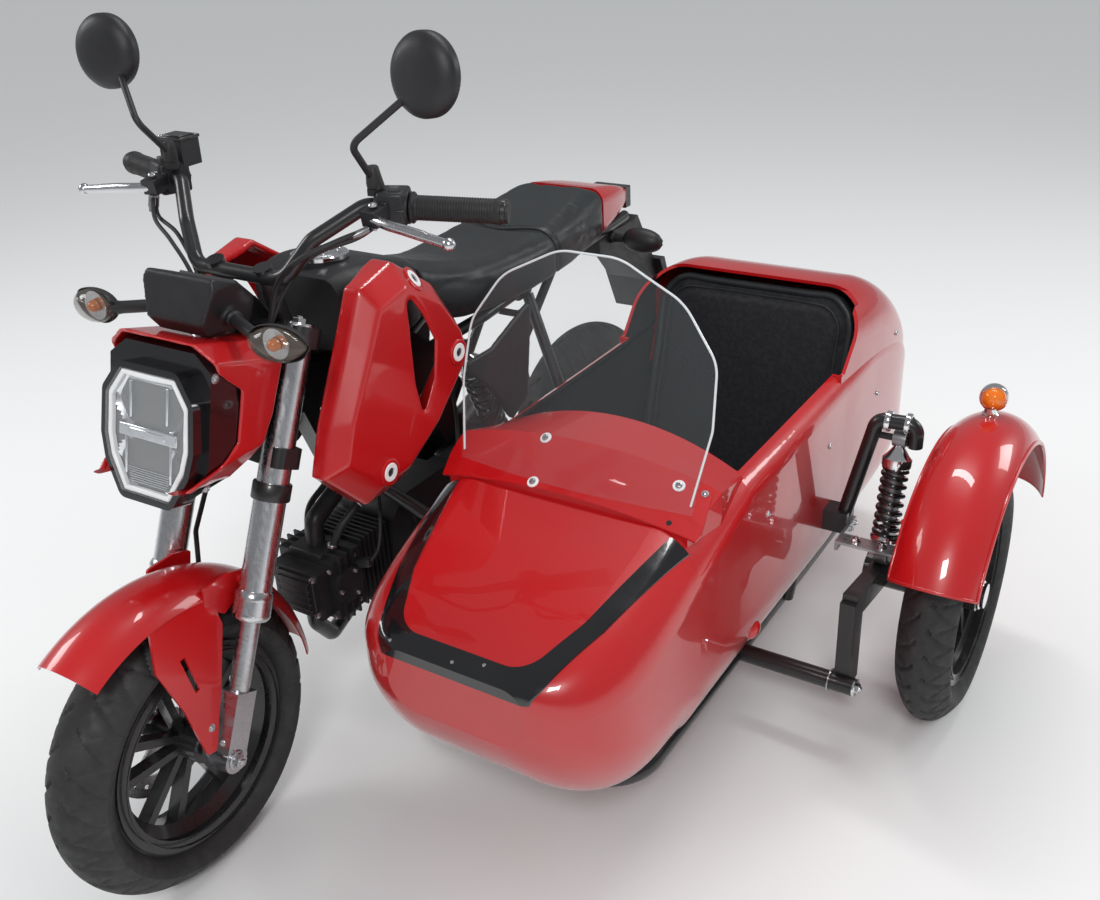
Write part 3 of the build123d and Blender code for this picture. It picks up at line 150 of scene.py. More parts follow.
RED = surface("red_paint", (0.46, 0.003, 0.005), (0.28, 0.36, 9), (2.2, (0.40, 0.003, 0.005), 0.45, 0.7),
              (55, 0.05, 0.0004), coat=0.9, coat_rough=0.015, on="sidecar_body cowl_sheet sidecar_mudguard")
RED_PLASTIC = surface("red_plastic", (0.47, 0.003, 0.005), (0.30, 0.38, 11), (2.6, (0.41, 0.003, 0.005), 0.45, 0.7),
                      (70, 0.05, 0.0004), coat=0.8, on="tank_shrouds headlamp_cowl front_mudguard tail_cowl")
BLACK = surface("black_paint", (0.010, 0.010, 0.011), (0.30, 0.42, 30), (6, (0.018, 0.018, 0.019)),
                (260, 0.12, 0.0003), coat=0.35, coat_rough=0.10,
                on="main_frame swing_arm sidecar_chassis wheel_arm wheel_shock rear_shock fork_clamps handlebar "
                   "foot_pegs exhaust")
GLOSS_BLACK = surface("gloss_black", (0.006, 0.006, 0.007), (0.10, 0.18, 20), (5, (0.009, 0.009, 0.010)),
                      (60, 0.04, 0.0003), "black_paint", "deck_trim headlamp_shell", coat=0.8)
PLASTIC = surface("black_plastic", (0.013, 0.013, 0.015), (0.42, 0.56, 40), (7, (0.021, 0.021, 0.022)),
                  (900, 0.25, 0.0003),
                  on="tank_cover inner_panels side_panels rear_mudguard meter hand_controls mirrors")
ENGINE = surface("engine_metal", (0.020, 0.020, 0.022), (0.34, 0.50, 60), (14, (0.036, 0.035, 0.034), 0.5, 0.75),
                 (500, 0.2, 0.0003), metal=0.3, on="engine_case engine_cylinder front_brake")
FORK = surface("fork_metal", (0.66, 0.66, 0.68), (0.18, 0.32, 240), (5, (0.56, 0.56, 0.58)), metal=1.0,
               stretch=(1, 1, 0.04), on="fork_tubes")
POLISHED = surface("polished", (0.86, 0.86, 0.87), (0.07, 0.16, 30), (12, (0.74, 0.74, 0.76), 0.55, 0.8), metal=1.0,
                   on="sidecar_hub_cap")
STEEL = surface("steel", (0.55, 0.55, 0.57), (0.24, 0.40, 220), (18, (0.42, 0.41, 0.41)), (500, 0.08, 0.0002),
                metal=1.0, stretch=(0.15, 1, 1),
                on="fork_legs_and_axle front_brake_disc rear_disc_and_sprocket drive_chain guard_tie")
surface("wheel_metal", (0.014, 0.014, 0.015), (0.24, 0.36, 40), (10, (0.022, 0.022, 0.022)),
        (420, 0.12, 0.0002), coat=0.4, coat_rough=0.1, on="front_rim rear_rim sidecar_rim")
TYRE = surface("tyre", (0.018, 0.018, 0.019), (0.55, 0.75, 80), (24, (0.034, 0.033, 0.031), 0.5, 0.75),
               (700, 0.25, 0.0003), on="front_tyre rear_tyre sidecar_tyre")
RUBBER = surface("rubber", (0.012, 0.012, 0.013), (0.48, 0.62, 60), (14, (0.020, 0.020, 0.020)), (800, 0.2, 0.0003),
                 on="grips")
VINYL = surface("vinyl", (0.017, 0.020, 0.022), (0.36, 0.50, 26), (5, (0.024, 0.027, 0.029)),
                (420, 0.35, 0.0004, "cells"), on="seat")
CLOTH = surface("seat_cloth", (0.008, 0.008, 0.011), (0.74, 0.90, 300), (120, (0.014, 0.014, 0.018), 0.45, 0.62),
                (700, 0.2, 0.0002), "vinyl", "sidecar_seat")
THREAD = surface("thread", (0.03, 0.03, 0.032), (0.6, 0.8, 500), (200, (0.06, 0.06, 0.062)), slot="vinyl")
WHITE = surface("white_ring", (0.80, 0.80, 0.80), (0.30, 0.42, 50), (20, (0.70, 0.70, 0.69)), slot="polished")
GREY = surface("grey_metal", (0.30, 0.30, 0.31), (0.28, 0.44, 90), (16, (0.22, 0.22, 0.225)), slot="steel", metal=0.8)
GREY_PLASTIC = surface("grey_plastic", (0.06, 0.06, 0.065), (0.38, 0.50, 60), (12, (0.05, 0.05, 0.055)),
                       (900, 0.25, 0.0003), "black_plastic")
RIM_EDGE = surface("rim_edge", (0.045, 0.045, 0.047), (0.18, 0.28, 60), (20, (0.06, 0.06, 0.062)),
                   slot="wheel_metal", metal=0.6)
SILVER = surface("silver_reflector", (0.80, 0.82, 0.85), (0.10, 0.22, 60), (40, (0.66, 0.69, 0.73)),
                 (90, 0.10, 0.0006), "polished", metal=1.0)
MIRROR = surface("mirror_glass", (0.85, 0.87, 0.90), (0.014, 0.04, 14), slot="polished", metal=1.0)
DISPLAY = surface("display_grey", (0.11, 0.12, 0.12), (0.14, 0.22, 50), (10, (0.09, 0.10, 0.10)),
                  slot="black_plastic", coat=0.6)
CLEAR = surface("lens_clear", (0.93, 0.95, 0.96), (0.021, 0.055, 14), alpha=0.12, coat=1.0, ior=1.45,
                on="headlamp_lens")
CLEAR_BULB = surface("clear_bulb", (0.88, 0.90, 0.93), (0.035, 0.085, 14), slot="lens_clear", coat=1.0, alpha=0.75)
surface("lens_smoke", (0.16, 0.13, 0.11), (0.042, 0.10, 14), alpha=0.42, coat=1.0,
        on="front_indicators rear_indicators")
surface("lens_red", (0.50, 0.01, 0.01), (0.07, 0.16, 14), None, (200, 0.25, 0.0006, "cells"),
        alpha=0.9, coat=1.0, on="tail_lamp")
AMBER = surface("lens_amber", (0.95, 0.22, 0.01), (0.07, 0.16, 14), None, (260, 0.25, 0.0006, "cells"),
                alpha=0.88, coat=1.0, on="mudguard_lamp")
surface("screen", (0.30, 0.33, 0.34), (0.014, 0.04, 14), alpha=0.06, coat=1.0, ior=1.6, on="windscreen")
# The screen's edge: a real edge of the acrylic, whose pale colour is a painted highlight of its bright line
SCREEN_EDGE_HIGHLIGHT = surface("screen_edge_painted_highlight", (0.80, 0.84, 0.85), (0.084, 0.19, 14), slot="screen", alpha=0.8, coat=1.0)


# Mesh makers: each returns (points in bike mm, faces)

def join(*meshes):
    points, faces = [], []
    for ps, fs in meshes:
        base = len(points)
        points += list(ps)
        faces += [tuple(i + base for i in f) for f in fs]
    return points, faces


def across(direction):
    d = Vector(direction).normalized()
    side = d.cross(Vector((0, 0, 1)))
    if side.length < 1e-3:
        side = Vector((1, 0, 0))
    side.normalize()
    return d, side, side.cross(d)


def lathe(base, direction, profile, count=40, closed=False):
    """Turned piece: profile of (distance along, radius) about a line from base."""
    d, u, v = across(direction)
    base = Vector(base)
    points, faces = [], []
    n = len(profile)
    for k in range(count):
        ray = u * math.cos(TAU * k / count) + v * math.sin(TAU * k / count)
        points += [base + d * s + ray * r for s, r in profile]
        m = (k + 1) % count
        for i in range(n if closed else n - 1):
            j = (i + 1) % n
            faces.append((k * n + i, m * n + i, m * n + j, k * n + j))
    if not closed:
        if profile[0][1] > 1e-6:
            faces.append(tuple(k * n for k in reversed(range(count))))
        if profile[-1][1] > 1e-6:
            faces.append(tuple(k * n + n - 1 for k in range(count)))
    return points, faces


def bands(rings, count, caps=True):
    """Faces between closed rings of count points, ring after ring."""
    faces = []
    for i in range(rings - 1):
        for k in range(count):
            m = (k + 1) % count
            faces.append((i * count + k, i * count + m, (i + 1) * count + m, (i + 1) * count + k))
    if caps:
        faces += [tuple(reversed(range(count))), tuple(range((rings - 1) * count, rings * count))]
    return faces


def smooth_line(points, steps):
    pts = [Vector(p) for p in points]
    ends = [pts[0] * 2 - pts[1]] + pts + [pts[-1] * 2 - pts[-2]]
    line = []
    for i in range(len(pts) - 1):
        a, b, c, d = ends[i:i + 4]
        for k in range(steps):
            t = k / steps
            line.append(0.5 * (2 * b + (c - a) * t + (2 * a - 5 * b + 4 * c - d) * t * t
                               + (3 * b - a - 3 * c + d) * t ** 3))
    return line + [pts[-1]]


def tube(points, radius, count=12, steps=8, smooth=True):
    line = smooth_line(points, steps) if smooth else [Vector(p) for p in points]
    last = len(line) - 1
    radii = radius if isinstance(radius, list) else [radius]
    verts, normal = [], None
    for i, p in enumerate(line):
        way = (line[min(i + 1, last)] - line[max(i - 1, 0)]).normalized()
        if normal is None:
            normal = across(way)[1]
        normal = (normal - way * normal.dot(way)).normalized()
        other = way.cross(normal)
        r = radii[int(i * (len(radii) - 1) / last)]
        for k in range(count):
            a = TAU * k / count
            verts.append(p + (normal * math.cos(a) + other * math.sin(a)) * r)
    return verts, bands(len(line), count)


def box(centre, size, turn=None):
    points = []
    for corner in range(8):
        p = Vector([size[axis] * (0.5 if corner & bit else -0.5) for axis, bit in ((0, 4), (1, 2), (2, 1))])
        points.append(Vector(centre) + (turn @ p if turn else p))
    return points, [(0, 1, 3, 2), (4, 6, 7, 5), (0, 4, 5, 1), (2, 3, 7, 6), (0, 2, 6, 4), (1, 5, 7, 3)]


def bolt(at, direction, r, high, drive=True):
    """Button-head bolt, with a recess in its head."""
    profile = [(0, r), (high * 0.4, r), (high * 0.85, r * 0.8), (high, r * 0.5)]
    profile += [(high * 0.5, r * 0.42), (high * 0.5, 0.0)] if drive else [(high, 0.0)]
    return lathe(at, direction, profile, 20)


def hex_nut(at, direction, r, high):
    """Six-sided nut with the end of its bolt."""
    end = Vector(at) + Vector(direction).normalized() * high
    return join(lathe(at, direction, [(0, r), (high * 0.85, r), (high, r * 0.86), (high, 0)], 6),
                lathe(end, direction, [(-1, r * 0.5), (2, r * 0.5), (3, r * 0.36), (3, 0)], 16))


def washer(at, direction, r, hole, high):
    return lathe(at, direction, [(0, hole), (0, r), (high * 0.7, r), (high, r * 0.92), (high, hole)], 28, closed=True)


def screw(p, n, wide, hole, thick, r, high, sunk=0.4, lift=0.5):
    """Bolt on its washer, on a surface."""
    return join(washer(p - n * sunk, n, wide, hole, thick), bolt(p + n * lift, n, r, high))


def turns(count, first=0.0):
    return [TAU * (k + first) / count for k in range(count)]


def bolt_circle(x, y, z, reach, angles, r, high):
    """Bolts round a point on a side face, heads outwards."""
    out = (1 if x > 0 else -1, 0, 0)
    return [bolt((x, y + reach * math.sin(a), z + reach * math.cos(a)), out, r, high) for a in angles]


def dress(o, mat, body, *replaced):
    """Material, body and the nodes it stands for, on an object."""
    o.data.materials.clear()
    o.data.materials.append(mat)
    o.data.shade_smooth()
    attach(o, body)
    if replaced:
        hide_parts(*replaced)


def make(name, mesh, mat, body="frame", turned=None, angle=35, replaces=(), bevel=0.0):
    """Puts a mesh, or a list of them, in the scene on its body.

    What the fork carries is drawn straight ahead and turned to its rest angle, unless turned is False.
    """
    points, faces = join(*mesh) if isinstance(mesh, list) else mesh
    data = bpy.data.meshes.new(name)
    data.from_pydata([tuple(place(p)) for p in points], [], [list(f) for f in faces])
    data.validate()
    data.update()
    o = bpy.data.objects.new(name, data)
    bpy.context.scene.collection.objects.link(o)
    if turned is None:
        turned = body in ("steering", "front_wheel")
    if turned:
        data.transform(STEER)
    dress(o, mat, body, *replaces)
    data.set_sharp_from_angle(angle=math.radians(angle))
    if bevel:
        m = o.modifiers.new("edges", "BEVEL")
        m.width = bevel * MM
        m.segments = 2
        m.limit_method = "ANGLE"
    return o


# Places seen in the photograph's frame of 1100 by 900, found on the surface that carries them

AZIMUTH, HEIGHT, ROLL = math.radians(33.70), math.radians(26.87), math.radians(-3.04)
EYE = place((1241.38, -815.81, 1386.23))
FOCAL, MIDDLE = 1139.76, (550, 450)
back = Vector((math.sin(AZIMUTH) * math.cos(HEIGHT), -math.cos(AZIMUTH) * math.cos(HEIGHT), math.sin(HEIGHT)))
right = Vector((math.cos(AZIMUTH), math.sin(AZIMUTH), 0))
up = back.cross(right)
right_rolled = right * math.cos(ROLL) + up * math.sin(ROLL)
up_rolled = -right * math.sin(ROLL) + up * math.cos(ROLL)


def tree_of(names):
    points, faces = [], []
    for name in names.split():
        mesh = nodes[name].data
        base = len(points)
        points += [v.co.copy() for v in mesh.vertices]
        faces += [tuple(i + base for i in p.vertices) for p in mesh.polygons]
    return BVHTree.FromPolygons(points, faces)


def spots(places, names):
    """Points and normals, in bike mm, of what is seen at these places on these nodes."""
    tree = tree_of(names)
    found = []
    for px, py in places:
        way = right_rolled * ((px - MIDDLE[0]) / FOCAL) - up_rolled * ((py - MIDDLE[1]) / FOCAL) - back
        hit, normal, _, _ = tree.ray_cast(EYE, way.normalized())
        if hit is None:
            print("nothing at", px, py, "on", names)
            continue
        found.append((bike(hit), -normal if normal.dot(way) > 0 else normal))
    return found


# Tyres, with their tread cut in

BEAD_SEAT = 154.0
CROWN = 0.62  # share of the section that is crown, the rest walls


def tyre(name, wheel, half, pitches, body, node):
    mid, y, radius = wheel
    around, rows = 12 * pitches, 44
    bead = half * 0.62
    points, faces = [], []

    def section(t):
        """Sideways place and radius, for t from -1 to 1 across, bead to bead."""
        s = abs(t)
        sign = 1 if t >= 0 else -1
        if s < CROWN:
            x = half * s / CROWN
            return sign * x, radius * (1 - 0.17 * (x / half) ** 2.2)
        w = (s - CROWN) / (1 - CROWN)
        top, low = radius * 0.83, BEAD_SEAT + 15
        x = half - (half - bead - 1) * w ** 2.4
        return sign * x, top + (low - top) * w

    def cut(t, share, phase):
        """Depth of the tread's slanted grooves."""
        if abs(t) >= 0.66:
            return 0.0
        side = 0.0 if share > 0 else 0.5
        share = abs(share)
        long_groove = (phase + 1.15 * share ** 0.8 + side) % 1.0
        short_groove = (phase - 0.45 * share + side + 0.55) % 1.0
        if 0.16 < share < 0.96 and abs(long_groove - 0.5) < 0.065:
            return 3.6
        return 2.8 if 0.42 < share < 0.9 and abs(short_groove - 0.5) < 0.05 else 0.0

    n = rows + 2
    for k in range(around):
        a = TAU * k / around
        ring = []
        for i in range(rows):
            t = -1 + 2 * i / (rows - 1)
            x, r = section(t)
            ring.append((x, r - cut(t, x / half, k / around * pitches)))
        ring += [(bead - 0.4, BEAD_SEAT), (-bead + 0.4, BEAD_SEAT)]
        points += [Vector((mid + x, y + r * math.sin(a), radius + r * math.cos(a))) for x, r in ring]
        m = (k + 1) % around
        for i in range(n):
            j = (i + 1) % n
            faces.append((k * n + i, k * n + j, m * n + j, m * n + i))
    make(name, (points, faces), TYRE, body, angle=30, replaces=(node,))


tyre("front_tyre_tread", FRONT_WHEEL, 57.4, 28, "front_wheel", "front_tyre")
tyre("rear_tyre_tread", REAR_WHEEL, 63.4, 28, "rear_wheel", "rear_tyre")
tyre("sidecar_tyre_tread", SIDE_WHEEL, 45.6, 32, "sidecar_wheel", "sidecar_tyre")


# Wheel fittings

def axle_nuts(half, y, z):
    """Nut and washer on both ends of an axle."""
    return [join(washer((s * half, y, z), (s, 0, 0), 15, 4, 2.5), hex_nut((s * (half + 2.5), y, z), (s, 0, 0), 11, 9))
            for s in (1, -1)]


make("front_axle_nuts", axle_nuts(104.4, 0, 236), STEEL, "steering")
make("front_disc_bolts", bolt_circle(-48.4, 0, 236, 34, turns(5), 4.5, 4), STEEL, "front_wheel")


# Bosses with pale rings on the shrouds, and the same on the motorcycle's other side

BOSSES = [(413, 279), (458, 352), (390, 472)]
for group, flip in (("boss", 1), ("far_boss", -1)):
    mirror = Matrix.Diagonal((flip, 1, 1))
    found = [(mirror @ p, mirror @ n) for p, n in spots(BOSSES, "tank_shrouds")]
    make(group + "_cups", [washer(p - n * 0.5, n, 21, 15.2, 3.0) for p, n in found], RED_PLASTIC)
    make(group + "_rings", [washer(p - n * 0.5, n, 15, 7.5, 3.6) for p, n in found], WHITE)
    make(group + "_bolts", [screw(p, n, 7.4, 3.5, 1.6, 4.6, 2.2, 0.8, 0) for p, n in found], BLACK)


# Fuel cap: bright ring, brushed lid with its key flap and screws

CAP = Vector((0, 430.9, 876))
CAP_DIR = Vector((0, 0.06, 1)).normalized()
CAP_TURN = Matrix.Rotation(-0.06, 3, "X")
make("cap_ring", lathe(CAP - CAP_DIR * 5, CAP_DIR, [(0, 45), (5.5, 45), (7, 43.5), (7, 37), (5.6, 36)], 64), POLISHED)
make("cap_lid", lathe(CAP - CAP_DIR * 4, CAP_DIR, [(0, 35.4), (6.2, 35.4), (7.4, 33), (7.4, 20), (6.6, 19), (6.6, 0)],
                      56), FORK)
make("cap_flap", box(CAP + CAP_DIR * 4.5 + Vector((0, 2, 0)), (15, 30, 4.5), CAP_TURN), GREY, bevel=1.6)
make("cap_screws", [bolt(CAP + CAP_DIR * 3.2 + CAP_TURN @ Vector((27 * math.cos(a), 27 * math.sin(a), 0)), CAP_DIR,
                         3.2, 1.6) for a in turns(5, 0.5)], STEEL)


# Handlebar ends: ribbed grips, levers, switches, reservoir

def bar_point(side, x):
    p = BAR_FROM + (BAR_TO - BAR_FROM) * ((x - BAR_FROM.x) / (BAR_TO.x - BAR_FROM.x))
    return Vector((side * p.x, p.y, p.z))


def bar_dir(side):
    d = (BAR_TO - BAR_FROM).normalized()
    return Vector((side * d.x, d.y, d.z))


def grip(side):
    long = (bar_point(1, 352) - bar_point(1, 236)).length
    profile = [(0, 16.4), (0, 21.5), (2.5, 22), (4.5, 20), (5.5, 17.4)]
    s = 9.0
    while s < long - 12:
        profile += [(s, 17.4), (s + 0.7, 16.6), (s + 1.5, 16.6), (s + 2.2, 17.4)]
        s += 3.6
    profile += [(long - 9, 17.4), (long - 7, 18.6), (long - 1, 18.6), (long, 17), (long, 16.2)]
    return lathe(bar_point(side, 236), bar_dir(side), profile, 36)


def lever(side):
    line = [(203, 317, 984), (225, 310, 983), (240, 306, 982), (268, 303.6, 979.5), (305, 301.6, 974.8),
            (340, 300, 970.7)]
    ball = [(-8.4, 3), (-7, 5.8), (-4, 8.2), (0, 9.3), (4, 8.2), (7, 5.6), (8.8, 2), (9, 0)]
    return join(tube([(side * x, y, z) for x, y, z in line], [7.0, 7.2, 7.4, 7.4, 6.6, 6.4], count=16, steps=6),
                lathe((side * 341, 300, 970.6), (side, -0.05, -0.12), ball, 28))


make("grip_rubber", [grip(1), grip(-1)], RUBBER, "steering")
make("bar_ends", [lathe(bar_point(s, 351), bar_dir(s), [(0, 16), (1, 17.2), (6, 17.2), (8, 15), (8.6, 12), (8.6, 5),
                                                        (7, 4), (7, 0)], 32) for s in SIDES], BLACK, "steering")
make("levers", [lever(1), lever(-1)], FORK, "steering")
make("lever_pivots", [join(bolt((s * 207, 320, 1001), (0, 0, 1), 6.5, 4),
                           hex_nut((s * 207, 320, 974), (0, 0, -1), 5.5, 4)) for s in SIDES], STEEL, "steering")

boxes, seams, buttons = [], [], []
for s in SIDES:
    mid, d = bar_point(s, 212), bar_dir(s)
    bar_turn = Matrix.Rotation(math.atan2(s * d.y, s * d.x), 3, "Z")
    boxes.append(box(mid + Vector((0, 1, 0)), (40, 49, 49), bar_turn))
    seams.append(box(mid + Vector((0, 1, 0)), (41.2, 50, 1.2), bar_turn))
    buttons += [box(mid + bar_turn @ Vector((x, 25.5, z)), (9, 5, 7), bar_turn) for x, z in ((-9, 9), (4, 9), (-3, -9))]
    buttons.append(box(mid + bar_turn @ Vector((s * 4, -8, 26.5)), (13, 11, 8), bar_turn))
make("switch_boxes", boxes, PLASTIC, "steering", bevel=5.0)
make("switch_seams", seams, BLACK, "steering", bevel=0.5)
make("switch_buttons", buttons, GREY_PLASTIC, "steering", bevel=1.2)
make("stop_switch", box(bar_point(-1, 214) + Vector((0, 22, 17)), (15, 8, 9)), RED_PLASTIC, "steering", bevel=1.5)
make("reservoir_lid", [box((-209, 385, 1046), (50, 42, 5)), box((-209, 385, 1049), (38, 30, 2.5))], BLACK, "steering",
     bevel=1.4)
make("reservoir_screws", [bolt((-209 + a, 385 + b, 1048), (0, 0, 1), 3.4, 2) for a, b in ((-20, -16), (20, 16))],
     STEEL, "steering")
make("reservoir_sight", lathe((-209, 404, 1022), (0, 1, 0), [(-1, 8), (1.5, 8), (2, 7), (1, 5.5), (1, 0)], 24), GREY,
     "steering")
make("perch_clamps", [join(box((s * 207, 343, 990), (24, 20, 27)), box((s * 207, 366, 990), (22, 12, 26)))
                      for s in SIDES], BLACK, "steering", bevel=2.5)


# Mirrors: smooth backs, glass on the rider's side, boots at their feet

MIRROR_BACK = [(2, 54.05), (7, 54.05), (11, 53.9), (16, 51), (20, 46.6), (23.6, 41.2), (26, 33), (27.2, 20), (27.6, 0)]
MIRROR_RIM = [(0, 50.5), (0, 53.2), (1.5, 54.0), (6, 54.0), (6, 50.5)]
faces_of = [(Vector((s * 288, 356, 1171)), Vector((s * -0.12, -1, 0.1)).normalized()) for s in SIDES]
make("mirror_backs", [lathe(at, d, MIRROR_BACK, 56) for at, d in faces_of], PLASTIC, "steering", angle=50)
make("mirror_bezels", [lathe(at - d * 1.6, d, MIRROR_RIM, 56, closed=True) for at, d in faces_of], BLACK, "steering")
make("mirror_glass", [lathe(at, -d, [(0, 50.6), (0.6, 50.6), (0.8, 50), (0.8, 0)], 56) for at, d in faces_of], MIRROR,
     "steering")
MIRROR_BOOT = [(-6, 10.4), (0, 11), (14, 10), (22, 8.4), (24, 6.4), (24, 4.6)]
make("mirror_boots", [join(lathe((s * 191.4, 347.4, 1024), (s * -0.4, 0, 10), MIRROR_BOOT, 28),
                           lathe((s * 191.4, 347.4, 1008), (0, 0, 1), [(0, 11.5), (9, 11.5), (10, 9.6)], 6))
                      for s in SIDES], RUBBER, "steering")


# Control cables and hose, held from the levers to behind the lamp

make("control_cables", [tube(line, r, 12) for r, line in (
    (3.2, [(-206, 312, 972), (-184, 290, 944), (-130, 264, 926), (-80, 246, 888), (-58, 240, 822)]),
    (3.2, [(-214, 326, 968), (-194, 306, 944), (-132, 280, 932), (-84, 258, 896), (-62, 248, 850), (-50, 244, 806)]),
    (4.0, [(-188, 348, 968), (-168, 328, 946), (-120, 294, 930), (-76, 262, 890), (-48, 246, 822)]),
    (4.2, [(206, 306, 972), (180, 272, 962), (134, 240, 938), (84, 248, 896), (62, 248, 842), (46, 248, 802)]),
    (3.2, [(190, 352, 966), (166, 328, 948), (118, 290, 928), (80, 262, 878), (52, 246, 812)]))],
     RUBBER, "steering", angle=60)
make("cable_ends", [lathe(p, d, [(0, 5.4), (16, 5.4), (19, 4), (24, 3.6)], 16) for p, d in (
    ((-206, 312, 972), (-0.02, -0.3, -1)), ((-214, 326, 968), (0.1, -0.4, -1)),
    ((206, 306, 972), (-0.5, -0.8, -0.25)))], GREY, "steering")


# Headlamp: lens, reflectors, light guide and its fixings, in the lamp's own leaning frame

LAMP_TURN = (Matrix.Translation((0, 40, 730)) @ Matrix.Rotation(math.radians(-14.6), 4, "X")
             @ Matrix.Translation((0, -40, -730)))
LAMP_Z = 733
LENS_HALF = [(50, 820), (76, 785), (78, 724), (70, 690), (43, 645)]
LENS = [(-50, 820)] + LENS_HALF + [(-x, z) for x, z in reversed(LENS_HALF[1:])]


def lamp_piece(name, meshes, mat, **more):
    points, faces = join(*meshes)
    make(name, ([LAMP_TURN @ Vector(p) for p in points], faces), mat, "steering", **more)


def lens_reach(angle, inset):
    """Distance from the lens's middle to its edge in a direction."""
    ray = Vector((math.cos(angle), math.sin(angle)))
    best = 1e9
    for k in range(len(LENS)):
        a = Vector(LENS[k]) - Vector((0, LAMP_Z))
        b = Vector(LENS[(k + 1) % len(LENS)]) - Vector((0, LAMP_Z))
        side = b - a
        cross = ray.x * side.y - ray.y * side.x
        if abs(cross) < 1e-9:
            continue
        t = (a.x * side.y - a.y * side.x) / cross
        u = (a.x * ray.y - a.y * ray.x) / cross
        if t > 0 and -1e-6 <= u <= 1 + 1e-6:
            best = min(best, t - inset)
    return best


def lens_rings(rows, caps=True, count=96):
    """Nested outlines of the lens: rows of (inset, depth)."""
    points = []
    for inset, depth in rows:
        for a in turns(count):
            r = max(lens_reach(a, inset), 0.5)
            points.append(Vector((r * math.cos(a), depth, LAMP_Z + r * math.sin(a))))
    return points, bands(len(rows), count, caps)


def reflector(count=96, rings=22, flat=74.0, depth=26):
    """Two faceted bowls in a flat ground that fills the lens."""
    points = []
    for i in range(rings + 1):
        for a in turns(count):
            r = lens_reach(a, 11) * i / rings
            x, z = r * math.cos(a), LAMP_Z + r * math.sin(a)
            best = flat
            for cz, reach in ((777, 48), (690, 46)):
                far = math.hypot(x * 0.72, z - cz)
                facet = 0.9 * math.cos(10 * math.atan2(z - cz, x)) * min(far / 20, 1)
                if far <= reach:
                    best = min(best, flat - depth * (far / reach) ** 2 + facet)
            points.append(Vector((x, best, z)))
    return points, bands(rings + 1, count, False)


lamp_piece("lamp_lens", [lens_rings([(0.2, 53.5), (0.2, 44), (2.4, 40.6), (11, 38.5), (26, 37), (44, 36.4)])], CLEAR,
           angle=22, replaces=("headlamp_lens",))
lamp_piece("lamp_reflector", [reflector()], SILVER, angle=18)
lamp_piece("lamp_guide", [lens_rings([(3, 52), (3, 46), (5, 44.6), (9, 44.6), (10.5, 46), (10.5, 52)], False)], WHITE)
lamp_piece("lamp_bridge", [box(at, size) for at, size in (
    ((0, 52, 734), (108, 12, 17)), ((0, 46.5, 734), (66, 4, 10)), ((-42, 60, 700), (4, 26, 58)),
    ((42, 60, 700), (4, 26, 58)), ((-34, 60, 778), (4, 26, 52)), ((34, 60, 778), (4, 26, 52)),
    ((0, 58, 806), (88, 8, 5)))], SILVER, bevel=1.4)
EMITTER = [(0, 13), (6, 13), (7, 11.5), (7, 9), (9.5, 6), (10.4, 0)]
lamp_piece("lamp_emitters", [lathe((x, 69, z), (0, -1, 0), EMITTER, 32)
                             for x, z in ((-17, 772), (17, 772), (-17, 692), (17, 692))], CLEAR_BULB)
lamp_piece("lamp_slats", [box((0, 50 + 0.35 * k, 662 + 3.1 * k), (66 + 3.2 * k, 1.2, 0.9)) for k in range(7)], SILVER)
make("lamp_bolts", [screw(p, n, 6.8, 3, 1.6, 5, 3.6, lift=0.6)
                    for p, n in spots([(215, 379), (206, 489)], "headlamp_shell headlamp_cowl")],
     STEEL, "steering", False)


# Indicators: black stalks and backs, amber bulbs behind the smoked lenses

def lamp_back(centre, lean, side, facing, count=28, grow=1.05):
    """Rear half of an indicator's round form, a little outside its lens."""
    rows = []
    for i in range(15):
        t = -1 + 2 * i / 14
        swell = 1 - ((t + 0.1) / (1.1 if t > -0.1 else 0.9)) ** 2
        low = 3 if t > -0.1 else 9
        rows.append((42.0 * t, low + (24.0 - low) * max(swell, 0) ** 0.5))
    lean_turn = Matrix.Rotation(math.radians(side * lean), 3, "Z")
    points, faces = [], []
    for k in range(count + 1):
        a = -facing * math.pi / 2 - math.pi * k / count
        for along, r in rows:
            points.append(Vector(centre) + lean_turn @ Vector((
                side * along * (grow if abs(along) > 40 else 1), r * grow * math.cos(a), r * grow * math.sin(a))))
    n = len(rows)
    for k in range(count):
        for i in range(n - 1):
            faces.append((k * n + i, (k + 1) * n + i, (k + 1) * n + i + 1, k * n + i + 1))
    return points, faces


for group, body, facing, centre, lean, root, tip in (
    ("front", "steering", -1, (172, 141, 860), 8, (62.5, 176, 866), (136, 145, 860)),
    ("rear", "frame", 1, (140, 1230, 692), 0, (62.8, 1230, 690), (108, 1230, 690)),
):
    backs, stalks, bulbs, plates = [], [], [], []
    for s in SIDES:
        flip = Vector((s, 1, 1))
        c, a, b = (Vector(p) * flip for p in (centre, root, tip))
        long = (b - a).length
        backs.append(lamp_back(c, lean, s, facing))
        stalks.append(lathe(a, b - a, [(0, 12.5), (6, 12.5), (9, 10), (24, 9.2), (long - 12, 9.2), (long, 11)], 28))
        bulbs.append(lathe(c - Vector((s * 4, 0, 0)), (0, facing, 0), [(1, 9), (5, 9), (9, 7.5), (13, 4), (14, 0)], 24))
        plates.append(lathe(c - Vector((s * 4, facing, 0)), (0, facing, 0),
                            [(0, 22), (2, 21.5), (1.2, 14), (0.6, 9), (0.6, 0)], 40))
    wall = make(group + "_lamp_backs", backs, PLASTIC, body, angle=60).modifiers.new("wall", "SOLIDIFY")
    wall.thickness = 1.2 * MM
    wall.offset = -1.0
    make(group + "_lamp_stalks", stalks, PLASTIC, body)
    make(group + "_lamp_bulbs", bulbs, AMBER, body)
    make(group + "_lamp_mirrors", plates, SILVER, body)


# Meter face on the rider's side

METER_TURN = Matrix.Rotation(math.radians(-46.5), 3, "X")


def meter_box(at, size):
    return box(Vector((0, 214.5, 892.5)) + METER_TURN @ Vector(at), size, METER_TURN)


